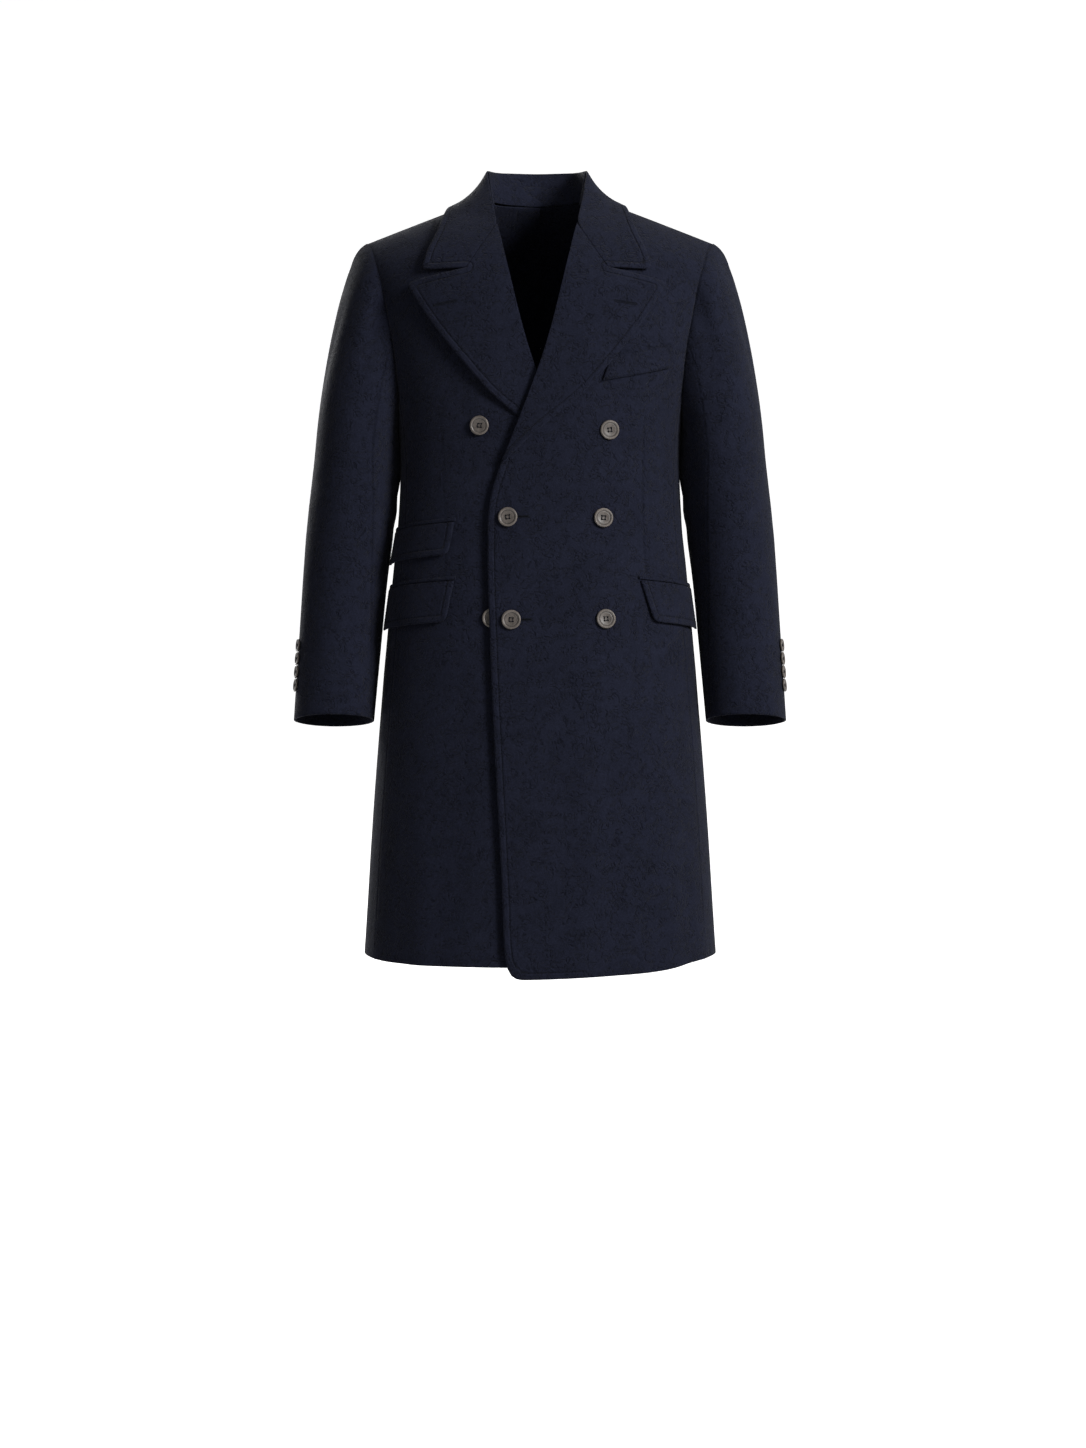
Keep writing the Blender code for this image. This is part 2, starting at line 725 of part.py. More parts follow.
def neck_seam(station):
    """The foot of the collar stand, just inside the neck edge of the fronts and backs."""
    level = read(COLLAR, station)[8]
    below = max(row for row in ALL_ROWS[1:-1] if row <= level)
    above = ALL_ROWS[ALL_ROWS.index(below) + 1]
    edge = edge_angle if station <= 4.0 else back_edge_angle
    low, high = (skin(edge(row, True), row) for row in (below, above))
    place = low.lerp(high, (level - below) / (above - below))
    inwards = Vector((NECK_CENTRE - place.x, -10.0 - place.y, 0.0)).normalized()
    return place + inwards * (1.5 + SEAM_GAP) + Vector((0.0, 0.0, -0.5))


def collar_stand():
    """The stand: from the neck seam up to the fold, inside the fall."""
    inner, outer = [], []
    columns = COLLAR_HALF_COLUMNS - 2
    for row in range(STAND_ROWS):
        share = row / (STAND_ROWS - 1)
        line = []
        for column in range(columns):
            station = mix(STAND_FROM, 8.0, column / (columns - 1))
            top = read(COLLAR, station)
            fold = Vector((top[0] + NECK_CENTRE, top[1], top[2] - 0.5))
            inwards = Vector((NECK_CENTRE - fold.x, -10.0 - fold.y, 0.0)).normalized()
            line.append(neck_seam(station).lerp(fold + inwards * 2.0 * SEAM_GAP, share))
        outer.append(mirrored(line))
    outs = grid_outs(outer, Vector((NECK_CENTRE, 0.0, 20.0)))
    for line, directions in zip(outer, outs):
        inner.append([point - out * CLOTH for point, out in zip(line, directions)])
    return sheet("collar_stand", outer, inner, WOOL)


collar_fall()
collar_stand()


# ---------------------------------------------------------------- pockets
# name, on the left front, x of the top front corner, z of it, how far the flap reaches round to
# (angle), z of the top rear corner, height, how far the free front corner is swept back
FLAPS = (
    ("flap_ticket", False, 112.0, -431, 89.0, -441, 43, 8),
    ("flap_right", False, 112.0, -508, 89.0, -517, 54, 10),
    ("flap_left", True, 130.5, -507, 89.0, -515, 54, 17),
)
FLAP_COLUMNS = 11
FLAP_ROWS = 5
FLAP_FLARE = 2.6            # how far the free edge stands off the body
JET_HEIGHT = 4.5
JET_THICK = 2.0
JET_ABOVE = 1.5

# Breast welt: x and z of its corners, front bottom, rear bottom, rear top, front top
WELT = ((80.0, -247.0), (169.0, -226.5), (171.0, -197.0), (92.0, -213.0))
WELT_COLUMNS = 8


def pocket_sheet(name, left, corners, rows, columns, offset, thick):
    """A sheet on a front. Corners are (angle, z): front top, rear top, rear bottom, front bottom."""
    side = 1.0 if left else -1.0
    outer, inner = [], []
    for row in range(rows):
        share_down = row / (rows - 1)
        outer.append([])
        inner.append([])
        for column in range(columns):
            share = column / (columns - 1)
            top = [mix(corners[0][axis], corners[1][axis], share) for axis in (0, 1)]
            bottom = [mix(corners[3][axis], corners[2][axis], share) for axis in (0, 1)]
            angle = side * mix(top[0], bottom[0], share_down)
            z = mix(top[1], bottom[1], share_down)
            level = z
            for _ in range(20):
                level = z + slope_drop(skin(angle, level).x, level)
            out = outward(angle, level)
            point = skin(angle, level)
            point += out * (front_lift(point.x, point.z, left) + offset(share_down, share))
            inner[-1].append(point)
            outer[-1].append(point + out * thick)
    return sheet(name, outer, inner, WOOL)


def front_angle(x, z):
    """The angle of a point on the front, from its distance to the centre plane and its height."""
    return place_at(x, z)[0]


for name, is_left, x, z, rear, rear_z, height, sweep in FLAPS:
    front_bottom = (front_angle(x + sweep, z - height), z - height)
    corners = ((front_angle(x, z), z), (rear, rear_z), (rear + 1.0, rear_z - height), front_bottom)
    pocket_sheet(name, is_left, corners, FLAP_ROWS, FLAP_COLUMNS,
                 lambda down, across: SEAM_GAP + FLAP_FLARE * down, FACED)
    jet_z = z + JET_ABOVE
    corners = ((front_angle(x - 2.0, z), jet_z + JET_HEIGHT),
               (rear, rear_z + JET_ABOVE + JET_HEIGHT), (rear, rear_z + JET_ABOVE),
               (front_angle(x - 2.0, z), jet_z))
    pocket_sheet("jet" + name[4:], is_left, corners, 2, FLAP_COLUMNS,
                 lambda down, across: SEAM_GAP, JET_THICK)

corners = [(front_angle(*corner), corner[1]) for corner in WELT]
pocket_sheet("breast_welt", True, (corners[3], corners[2], corners[1], corners[0]), 3,
             WELT_COLUMNS, lambda down, across: SEAM_GAP, FACED)


# ---------------------------------------------------------------- buttons
FRONT_BUTTON = 12.7         # radius
CUFF_BUTTON = 8.8
BUTTON_THICK = 4.0
# name, on the left front, x, z
FRONT_BUTTONS = (
    ("button_right_top", False, -78.6, -305.0),
    ("button_left_top", True, 89.7, -310.5),
    ("button_right_middle", True, -41.3, -425.5),
    ("button_left_middle", True, 81.4, -426.3),
    ("button_right_low", True, -36.8, -560.0),
    ("button_left_low", True, 84.5, -558.7),
    ("button_underlap", False, -62.3, -557.0),
)
CUFF_BUTTONS = 4
CUFF_BUTTON_TOP = -592.0
CUFF_BUTTON_PITCH = 17.9
CUFF_BUTTON_TURN = -17.0    # angle round the cuff, from outwards towards the front
FRONT_BUTTON_SIDES = 16
CUFF_BUTTON_SIDES = 12
CUFF_BUTTON_THICK = 3.0
# share of the radius, share of the thickness: the turned outline of a button from back to face
BUTTON_PROFILE = ((0.0, 0.0), (0.78, 0.0), (0.97, 0.30), (1.0, 0.62), (0.90, 0.98), (0.76, 0.98),
                  (0.64, 0.70), (0.0, 0.62))


def button(name, centre, out, radius, thick, sides):
    """A turned button with a raised rim, on the cloth at a point."""
    build = bmesh.new()
    outline = [build.verts.new((across * radius * MM, 0.0, up * thick * MM))
               for across, up in BUTTON_PROFILE]
    edges = [build.edges.new(pair) for pair in zip(outline, outline[1:])]
    bmesh.ops.spin(build, geom=outline + edges, cent=(0, 0, 0), axis=(0, 0, 1),
                   angle=math.tau, steps=sides, use_merge=True)
    bmesh.ops.remove_doubles(build, verts=build.verts[:], dist=0.00001)
    bmesh.ops.recalc_face_normals(build, faces=build.faces[:])
    piece = finish(name, build, HORN)
    turn = out.to_track_quat("Z", "Y").to_matrix().to_4x4()
    piece.matrix_world = Matrix.Translation(centre * MM) @ turn
    return piece


for name, is_left, x, z in FRONT_BUTTONS:
    centre, out = on_front(x, z, is_left, SEAM_GAP)
    button(name, centre, out, FRONT_BUTTON, BUTTON_THICK, FRONT_BUTTON_SIDES)

for word, side in (("left", 1.0), ("right", -1.0)):
    for number in range(CUFF_BUTTONS):
        turn, height = CUFF_BUTTON_TURN, CUFF_BUTTON_TOP - number * CUFF_BUTTON_PITCH
        around = tube_surface(turn + 1.0, height) - tube_surface(turn - 1.0, height)
        along = tube_surface(turn, height + 1.0) - tube_surface(turn, height - 1.0)
        out = around.cross(along).normalized()
        centre = tube_surface(turn, height) + out * SEAM_GAP
        centre.x, out.x = side * centre.x, side * out.x
        button("cuff_button_%s_%d" % (word, number + 1), centre, out,
               CUFF_BUTTON, CUFF_BUTTON_THICK, CUFF_BUTTON_SIDES)
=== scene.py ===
# %% [markdown]
# # A double-breasted overcoat in navy wool
# The coat hangs as it is worn, with nobody in it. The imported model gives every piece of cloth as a
# thin closed solid. This script turns each one into sewn, pressed wool, then adds the buttons, the
# buttonholes and the stitching. Everything is in metres, with the wearer facing -Y and the wearer's
# left at +X. Sizes in the tables are in millimetres, because a tailor works in them.

# %% Load the frame
import math

import bmesh
import bpy
import numpy as np
from mathutils import Matrix, Vector
from mathutils.bvhtree import BVHTree


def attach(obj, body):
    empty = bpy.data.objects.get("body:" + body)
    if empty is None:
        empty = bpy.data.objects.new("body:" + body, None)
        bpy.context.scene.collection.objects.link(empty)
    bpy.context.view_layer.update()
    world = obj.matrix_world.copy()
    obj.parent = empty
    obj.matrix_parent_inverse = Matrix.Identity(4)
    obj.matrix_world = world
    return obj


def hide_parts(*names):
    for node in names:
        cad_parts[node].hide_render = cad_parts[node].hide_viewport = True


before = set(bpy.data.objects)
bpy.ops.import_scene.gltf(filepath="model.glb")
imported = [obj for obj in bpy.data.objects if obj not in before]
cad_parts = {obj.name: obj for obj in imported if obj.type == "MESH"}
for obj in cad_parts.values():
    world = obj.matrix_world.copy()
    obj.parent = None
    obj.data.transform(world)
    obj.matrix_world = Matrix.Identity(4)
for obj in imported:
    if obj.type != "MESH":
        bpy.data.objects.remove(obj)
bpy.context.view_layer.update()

MM = 0.001

# %% [markdown]
# ## The camera, the light and the floor
# A long lens at hip height keeps the proportions of the hem and the shoulders. The camera looks level
# along +Y from four and a half metres. A real studio rolls white paper down a wall and along the floor
# in one sweep. Here a plane is extruded up and the corner is bevelled, which gives the same sweep with
# no line where the wall meets the floor.

# %% Camera and paper sweep
scene = bpy.context.scene
CAMERA_AT = (0.004, -4.5, -0.695)
LENS = 83.5
FLOOR = -1.595
SWEEP_HALF = 9.0
SWEEP_BACK = 5.0
SWEEP_TOP = 9.0
SWEEP_ROUND = 2.5


def made(name, build, material=None):
    """Turns a bmesh into a named object."""
    mesh = bpy.data.meshes.new(name)
    build.to_mesh(mesh)
    build.free()
    for face in mesh.polygons:
        face.use_smooth = True
    piece = bpy.data.objects.new(name, mesh)
    scene.collection.objects.link(piece)
    if material:
        mesh.materials.append(material)
    return piece


camera = bpy.data.objects.new("camera", bpy.data.cameras.new("camera"))
camera.location = CAMERA_AT
camera.rotation_euler = (math.pi / 2, 0, 0)
camera.data.lens = LENS
camera.data.sensor_width = 36.0
camera.data.clip_end = 50.0
scene.collection.objects.link(camera)
scene.camera = camera

build = bmesh.new()
bmesh.ops.create_grid(build, x_segments=1, y_segments=1, size=SWEEP_HALF,
                      matrix=Matrix.Translation((0, SWEEP_BACK - SWEEP_HALF, FLOOR)))
far = [edge for edge in build.edges
       if all(vert.co.y > SWEEP_BACK - 0.01 for vert in edge.verts)]
wall = bmesh.ops.extrude_edge_only(build, edges=far)["geom"]
bmesh.ops.translate(build, vec=(0, 0, SWEEP_TOP),
                    verts=[item for item in wall if isinstance(item, bmesh.types.BMVert)])
bmesh.ops.bevel(build, geom=far, offset=SWEEP_ROUND, offset_type="OFFSET", segments=16, profile=0.5,
                affect="EDGES", material=-1)
sweep = made("paper_sweep", build)
sweep.visible_diffuse = False
print("paper sweep faces", len(sweep.data.polygons))

# %% [markdown]
# The key light is a big soft box high on the coat's left, so that side is brighter and the lapels
# throw a soft shadow towards the other side. A weaker box fills from the coat's right, a third one
# lifts the shoulders and a fourth lights the back. The world adds a little even light. The paper glows
# by itself, as it does when it has lamps of its own, and is kept from lighting the coat, as black flags
# beside it would do: dark cloth keeps its depth, and still stands before clean white.

# %% Soft boxes and world
LIGHTS = (
    # name, place, what it faces, size, watts
    ("key", (3.1, -3.0, 1.3), (0.0, 0.0, -0.45), 1.5, 226.0),
    ("fill", (-2.4, -4.0, 0.2), (0.0, 0.0, -0.6), 2.4, 8.0),
    ("top", (0.5, 0.6, 2.6), (0.0, 0.0, -0.3), 1.8, 12.0),
    ("back", (-1.7, 3.1, 0.9), (0.0, 0.0, -0.5), 1.6, 120.0),
)
for name, place, target, size, watts in LIGHTS:
    lamp = bpy.data.objects.new(name, bpy.data.lights.new(name, "AREA"))
    lamp.data.shape = "DISK"
    lamp.data.size = size
    lamp.data.energy = watts
    lamp.location = place
    lamp.rotation_euler = (Vector(target) - Vector(place)).to_track_quat("-Z", "Y").to_euler()
    scene.collection.objects.link(lamp)
scene.world = bpy.data.worlds.new("studio")
scene.world.use_nodes = True
scene.world.node_tree.nodes["Background"].inputs["Color"].default_value = (1.0, 1.0, 1.0, 1.0)
scene.world.node_tree.nodes["Background"].inputs["Strength"].default_value = 0.16
scene.view_settings.view_transform = "Standard"
print("lights", len(LIGHTS))

# %% [markdown]
# ## Shader arithmetic
# A finish is built from nodes. Writing each Math node by hand hides the idea, so a small class wraps a
# socket and lets ordinary arithmetic add the nodes: `1 - mask * 0.3` reads as what it does. Any other
# node comes from one method that takes its type, its settings and its sockets.

# %% A socket that does arithmetic
class Value:
    """A number that changes over the surface."""

    def __init__(self, tree, socket):
        self.tree, self.socket = tree, socket

    def maths(self, operation, first, second=0.0):
        return Value(self.tree, add(self.tree, "ShaderNodeMath", {"operation": operation},
                                    {0: first, 1: second}).outputs[0])

    def __add__(self, other):
        return self.maths("ADD", self, other)

    def __radd__(self, other):
        return self.maths("ADD", other, self)

    def __sub__(self, other):
        return self.maths("SUBTRACT", self, other)

    def __rsub__(self, other):
        return self.maths("SUBTRACT", other, self)

    def __mul__(self, other):
        return self.maths("MULTIPLY", self, other)

    def __rmul__(self, other):
        return self.maths("MULTIPLY", other, self)

    def __truediv__(self, other):
        return self.maths("DIVIDE", self, other)

    def __rtruediv__(self, other):
        return self.maths("DIVIDE", other, self)

    def absolute(self):
        return self.maths("ABSOLUTE", self)

    def sine(self):
        return self.maths("SINE", self)

    def least(self, other):
        return self.maths("MINIMUM", self, other)

    def most(self, other):
        return self.maths("MAXIMUM", self, other)

    def held(self):
        return self.most(0.0).least(1.0)


def add(tree, kind, settings=None, sockets=None):
    """Adds a node, with its settings first and then its sockets, as numbers or links."""
    node = tree.nodes.new(kind)
    for key, setting in (settings or {}).items():
        setattr(node, key, setting)
    for key, value in (sockets or {}).items():
        if isinstance(value, Value):
            tree.links.new(value.socket, node.inputs[key])
        elif isinstance(value, bpy.types.NodeSocket):
            tree.links.new(value, node.inputs[key])
        else:
            node.inputs[key].default_value = value
    return node


def noise(tree, at, scale, detail=3.0, roughness=0.5, distortion=0.0):
    """Soft noise from 0 to 1 around 0.5, with its scale in lumps a metre."""
    node = add(tree, "ShaderNodeTexNoise", {},
               {"Vector": at, "Scale": scale, "Detail": detail, "Roughness": roughness,
                "Distortion": distortion})
    return Value(tree, node.outputs[0])


def blend(tree, share, first, second):
    """A colour between two others."""
    node = add(tree, "ShaderNodeMix", {"data_type": "RGBA"}, {0: share, 6: first, 7: second})
    return node.outputs[2]


def field(tree, name):
    """A number stored on the piece's own points."""
    return Value(tree, add(tree, "ShaderNodeAttribute", {"attribute_name": name}).outputs["Fac"])


def hump(value, centre, width):
    """1 where a value is at the centre, falling to 0 a width away on either side."""
    near = (1.0 - ((value - centre) / width).absolute()).held()
    return near * near * (3.0 - 2.0 * near)


def step(value, start, end):
    """0 before start, 1 after end, smooth between."""
    share = ((value - start) / (end - start)).held()
    return share * share * (3.0 - 2.0 * share)


def finish_of(name, colour=(0.5, 0.5, 0.5, 1.0), **sockets):
    """A new material and its tree, with the shader's constant sockets set."""
    material = bpy.data.materials.new(name)
    material.use_nodes = True
    tree = material.node_tree
    shader = tree.nodes["Principled BSDF"]
    material.diffuse_color = colour
    shader.inputs["Base Color"].default_value = colour
    for key, value in sockets.items():
        shader.inputs[key.replace("_", " ")].default_value = value
    return material, tree, shader


print("shader helpers ready")

# %% [markdown]
# ## The finishes
# Overcoating is woven, then soaked, rubbed and brushed until the weave disappears under a short felted
# nap. So there are no threads to draw: the look comes from tiny fibres that swirl, slight patches where
# the dye took more or less, and a soft bloom where light grazes the nap. The cloth also answers to its
# sewing. Every piece carries three numbers on its points, in millimetres: how far a point is from a
# stitched edge, how far along that edge it is, and how far it is from a seam. The finish reads them to
# swell the edge and paint a highlight along it, and to sink the line of stitches and the seams and paint
# shade into them.

# %% Wool and thread
STITCH_IN = 8.6             # from the edge to the line of stitches
STITCH_LONG = 4.4           # one stitch and its gap


def wool_finish(name, deep, light):
    material, tree, shader = finish_of(name, light, Sheen_Weight=0.035, Sheen_Roughness=0.5,
                                       Specular_IOR_Level=0.07)
    at = add(tree, "ShaderNodeTexCoord").outputs["Object"]
    # from the nap, under a millimetre across, to patches of about four centimetres
    nap = noise(tree, at, 1150.0, 1.0, 0.6)
    fibre = noise(tree, at, 150.0, 2.0, 0.64, 2.6)
    lint = noise(tree, at, 430.0, 0.0, 0.5, 3.0)
    patch = noise(tree, at, 26.0, 1.0, 0.55)
    curl = hump(noise(tree, at, 82.0, 0.0, 0.5, 2.6), 0.5, 0.085)
    curl = curl * step(noise(tree, at, 74.0, 0.0), 0.36, 0.52)
    edge, run, seam = field(tree, "edge_mm"), field(tree, "run_mm"), field(tree, "seam_mm")
    line = hump(edge, STITCH_IN, 1.5)
    dimple = (run * (math.tau / STITCH_LONG)).sine() * 0.5 + 0.5
    swell = step(edge, 0.0, 2.0) * (1.0 - step(edge, STITCH_IN - 2.8, STITCH_IN))
    beyond = hump(edge, STITCH_IN + 3.2, 2.6)
    valley = 1.0 - step(seam, 0.3, 3.4)
    # Painted highlight: the outermost 1.6 mm of a stitched edge is made lighter, where the rounded edge
    # catches light.
    edge_highlight = 1.0 - step(edge, 0.0, 1.6)
    # The colour adds painted highlight on the swelled band (swell) and painted shade in the line of
    # stitches, most in each dimple (line, dimple), and in the hollow along seams, darts and the welt's
    # mouth (valley).
    share = (0.57 + (nap - 0.5) * 0.8 + (fibre - 0.5) * 1.2 + (patch - 0.5) * 0.35
             + (lint - 0.5) * 0.8 + edge_highlight * 0.16 + swell * 0.06 - curl * 0.38
             - line * (0.08 + dimple * 0.40) - valley * 0.20).held()
    tree.links.new(blend(tree, share, deep, light), shader.inputs["Base Color"])
    rough = (0.86 + (nap - 0.5) * 0.16 + valley * 0.06).held()
    tree.links.new(rough.socket, shader.inputs["Roughness"])
    height = ((nap - 0.5) * 0.14 + (fibre - 0.5) * 0.95 + (lint - 0.5) * 0.22 + (patch - 0.5) * 0.40
              - curl * 0.95 + swell * 0.75 + beyond * 0.22 - line * (0.55 + dimple * 0.45)
              - valley * 0.40) * MM
    bump = add(tree, "ShaderNodeBump", {}, {"Height": height, "Distance": 1.0, "Strength": 1.0})
    tree.links.new(bump.outputs[0], shader.inputs["Normal"])
    return material


NAVY_DEEP = (0.0040, 0.0049, 0.0105, 1.0)
NAVY_LIGHT = (0.0150, 0.0172, 0.0335, 1.0)
wool = wool_finish("navy_wool", NAVY_DEEP, NAVY_LIGHT)

thread, tree, shader = finish_of("navy_thread", (0.004, 0.005, 0.010, 1.0),
                                 Specular_IOR_Level=0.12)
at = add(tree, "ShaderNodeTexCoord").outputs["Object"]
twist = noise(tree, at, 1800.0, 1.0)
tree.links.new(blend(tree, twist, (0.0028, 0.0034, 0.007, 1.0), (0.0062, 0.0074, 0.014, 1.0)),
               shader.inputs["Base Color"])
tree.links.new((0.62 + twist * 0.2).socket, shader.inputs["Roughness"])
bump = add(tree, "ShaderNodeBump", {}, {"Height": twist * 0.12 * MM, "Distance": 1.0})
tree.links.new(bump.outputs[0], shader.inputs["Normal"])

paper, tree, shader = finish_of("white_paper", (0.86, 0.86, 0.86, 1.0), Specular_IOR_Level=0.1,
                                Emission_Color=(1.0, 1.0, 1.0, 1.0), Emission_Strength=0.69)
at = add(tree, "ShaderNodeTexCoord").outputs["Object"]
grain = noise(tree, at, 9.0, 2.0)
tree.links.new(blend(tree, grain, (0.85, 0.85, 0.85, 1.0), (0.88, 0.88, 0.88, 1.0)),
               shader.inputs["Base Color"])
tree.links.new((0.88 + grain * 0.06).socket, shader.inputs["Roughness"])
sweep.data.materials.append(paper)
print("finishes", [material.name for material in bpy.data.materials if material.node_tree])

# %% [markdown]
# ## How cloth gives
# A worn coat hangs from the shoulders and is held at the buttons. Between them it breaks into soft
# hollows: down the skirt, from the waist button towards the hips, across the small of the back, at the
# bend of the elbow. A tailor would call them drapes and drags. They are listed below, in the
# coat's own terms: the angle round the body from the middle of the front towards the wearer's left,
# and the height under the shoulder point. One table moves every piece that lies there, so a flap
# keeps lying on the front under it. A cloth simulation could find such folds by itself, but not the
# ones that a presser has left in, and heavy pressed wool has very few.

# %% Tables of creases
# path of (angle, height), width across, depth of the hollow (a ridge if negative)
BODY_CREASES = (
    (((30, -600), (33, -800), (36, -1040)), 26, 2.6),
    (((50, -640), (54, -1040)), 22, -1.8),
    (((-36, -620), (-40, -820), (-43, -1040)), 25, 2.4),
    (((-58, -660), (-60, -1040)), 20, -1.6),
    (((12, -640), (13, -1040)), 30, 1.6),
    (((-14, -435), (-34, -462), (-58, -452)), 13, 1.3),
    (((22, -432), (46, -455), (68, -446)), 13, 1.3),
    (((20, -566), (44, -600), (66, -590)), 14, 1.0),
    (((46, -215), (42, -262), (40, -330)), 18, 1.9),
    (((-47, -210), (-44, -270), (-41, -335)), 17, 1.7),
    (((-10, -366), (2, -398), (16, -418)), 12, 1.1),
    (((86, -420), (96, -470), (92, -560)), 18, 1.8),
    (((-88, -430), (-97, -480), (-94, -555)), 18, 1.7),
    (((176, -180), (171, -280), (168, -390)), 20, 2.0),
    (((-174, -190), (-170, -300), (-169, -380)), 19, 1.8),
    (((132, -225), (138, -300), (142, -380)), 17, 2.2),
    (((-134, -220), (-139, -310), (-143, -385)), 17, 2.1),
    (((120, -430), (145, -452), (168, -440)), 14, 2.3),
    (((-122, -436), (-148, -455), (-172, -446)), 13, 2.1),
    (((128, -478), (150, -498), (176, -486)), 15, 1.7),
    (((-126, -482), (-152, -500), (-178, -492)), 14, 1.6),
    (((150, -560), (154, -760), (156, -1040)), 28, 3.4),
    (((-148, -570), (-155, -780), (-158, -1040)), 27, 3.2),
    (((124, -600), (120, -820), (119, -1040)), 24, 2.6),
    (((-122, -610), (-119, -830), (-117, -1040)), 24, 2.7),
    (((90, -620), (91, -1040)), 22, 2.0),
    (((-90, -630), (-92, -1040)), 22, 1.9),
)
# the same for a sleeve: the angle from its outer side towards the front
SLEEVE_CREASES = (
    (((84, -368), (52, -386), (24, -378)), 13, 1.2),
    (((96, -404), (60, -420), (34, -414)), 12, 1.0),
    (((128, -346), (100, -360), (72, -352)), 13, 1.4),
    (((150, -372), (178, -392), (206, -384)), 13, 2.2),
    (((136, -420), (168, -436), (200, -428)), 12, 1.8),
    (((40, -130), (30, -190), (24, -262)), 17, 1.5),
    (((-46, -140), (-40, -200), (-36, -280)), 17, 1.6),
    (((96, -236), (84, -266), (60, -284)), 13, 1.5),
    (((-10, -450), (-4, -560), (2, -668)), 20, 1.3),
    (((70, -470), (76, -640)), 18, 1.2),
    (((236, -430), (230, -560), (226, -650)), 18, 1.5),
    # the inner side swells towards the body
    (((180, -236), (181, -460), (180, -690)), 34, -3.2),
    (((180, -275), (180, -345), (180, -430)), 26, -2.4),
)
CREASE_FADE = 0.8           # below 1, a crease keeps its depth a little longer towards its ends
BODY_ROUND = 3.4            # millimetres round the body for one degree
SLEEVE_ROUND = 1.25
SLEEVE_LINE = ((-60.0, 205.0, 2.0), (-330.0, 268.0, 0.0), (-700.0, 292.0, -6.0))   # height, x, y
# further out or lower than this a sleeve is clear of the armhole, and over the blend beyond it the
# cloth comes to move with the sleeve alone
ARM_FREE, UNDERARM = 232.0, -302.0
ARM_BLEND, UNDERARM_BLEND = 30.0, 8.0


def around(points, sleeve=0):
    """For points in mm: where they are as (round, height), and the level direction out of the cloth."""
    if sleeve:
        level = [row[0] for row in SLEEVE_LINE][::-1]
        middle_x = np.interp(points[:, 2], level, [row[1] for row in SLEEVE_LINE][::-1])
        middle_y = np.interp(points[:, 2], level, [row[2] for row in SLEEVE_LINE][::-1])
        across = points[:, 0] * sleeve - middle_x
        ahead = middle_y - points[:, 1]
        turn = np.degrees(np.arctan2(ahead, across))
        turn = np.where(turn < -90, turn + 360, turn) * SLEEVE_ROUND
        out = np.stack([across * sleeve, -ahead, np.zeros(len(points))], axis=1)
    else:
        turn = np.degrees(np.arctan2(points[:, 0], -points[:, 1])) * BODY_ROUND
        out = points * (1, 1, 0)
    out = out / np.maximum(np.linalg.norm(out, axis=1), 1.0)[:, None]
    return np.stack([turn, points[:, 2]], axis=1), out


def along(points, line):
    """For each point: how far it is from a line, and how far along the line the nearest place is."""
    line = np.asarray(line, float)
    nearest, reached, run = np.full(len(points), 1e6), np.zeros(len(points)), 0.0
    for start, end in zip(line[:-1], line[1:]):
        way = end - start
        long = max(float(np.linalg.norm(way)), 1e-6)
        share = np.clip((points - start) @ way / long ** 2, 0, 1)
        far = np.linalg.norm(points - start - share[:, None] * way, axis=1)
        closer = far < nearest
        nearest[closer], reached[closer] = far[closer], run + share[closer] * long
        run += long
    return nearest, reached / max(run, 1e-6), run


def pressed(points, sleeve):
    """How one table of creases moves each point, in mm."""
    table, per_degree = (SLEEVE_CREASES, SLEEVE_ROUND) if sleeve else (BODY_CREASES, BODY_ROUND)
    places, out = around(points, sleeve)
    depth = np.zeros(len(points))
    for path, width, deep in table:
        line = [(angle * per_degree, height) for angle, height in path]
        for wrap in (-360, 0, 360):
            far, share, _ = along(places + (wrap * per_degree, 0), line)
            depth += deep * np.exp(-(far / width) ** 2) * np.sin(np.pi * share) ** CREASE_FADE
    return -out * depth[:, None]


def give(points, sleeve=0):
    """How far the cloth moves. A sleeve moves with the body where it is sewn to it."""
    if not sleeve:
        return pressed(points, 0)
    away = np.maximum(np.clip((np.abs(points[:, 0]) - ARM_FREE) / ARM_BLEND, 0, 1),
                      np.clip((UNDERARM - points[:, 2]) / UNDERARM_BLEND, 0, 1))[:, None]
    return pressed(points, sleeve) * away + pressed(points, 0) * (1 - away)


print("creases", len(BODY_CREASES), "on the body and", len(SLEEVE_CREASES), "on each sleeve")

# %% [markdown]
# ## From a flat-walled solid to cloth
# Each cloth solid has an outer face, an inner face and a thin rim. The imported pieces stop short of
# each other, so a copy's rim first moves out until two sewn edges all but meet. The copy is then made
# smooth with a Subdivision Surface, which rounds a mesh as if it were made of elastic. The rim's two
# long edges are creased before that, so that the outline keeps its cut. The creases in the tables are
# pressed in next. Last, the rim's edges get a small bevel, because thick wool never ends in a knife
# edge.

# %% Cloth from a node
SHARP = math.radians(50)
OUTER, INNER = 1, 2
# triangles are joined where they are flat and square to within these
FLAT, SQUARE = math.radians(30), math.radians(60)
WELD = 0.02                 # points nearer than this are one
SEW_UP = 0.149              # every edge moves out by this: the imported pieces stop 0.3 short of each other
SET_IN = 0.33               # a sleeve stands a little off the armhole, so its edge moves further there
SAME_WAY = 0.7              # two rim faces whose directions agree by more than this count as one
SEAMS_MEET = ((195.0, -59.5, -190.9), (200.2, 56.2, -162.7))    # where sleeve seams reach the armhole
PIN_NEAR = 2.5              # a point this near to such a place stays sharp
CORNER_NEAR = 9.0           # and an edge this near to a rounded corner turns softly


def flood(faces):
    """Groups of faces that meet without a sharp edge."""
    left, groups = set(faces), []
    while left:
        stack, group = [left.pop()], []
        while stack:
            face = stack.pop()
            group.append(face)
            for edge in face.edges:
                if edge.calc_face_angle(0.0) < SHARP:
                    for other in edge.link_faces:
                        if other in left:
                            left.remove(other)
                            stack.append(other)
        groups.append(group)
    return sorted(groups, key=lambda group: -sum(face.calc_area() for face in group))


def outward_share(faces, middle):
    """Positive for the side of a piece of cloth that shows."""
    return sum(face.calc_area() * face.normal.dot(face.calc_center_median() - middle)
               for face in faces)


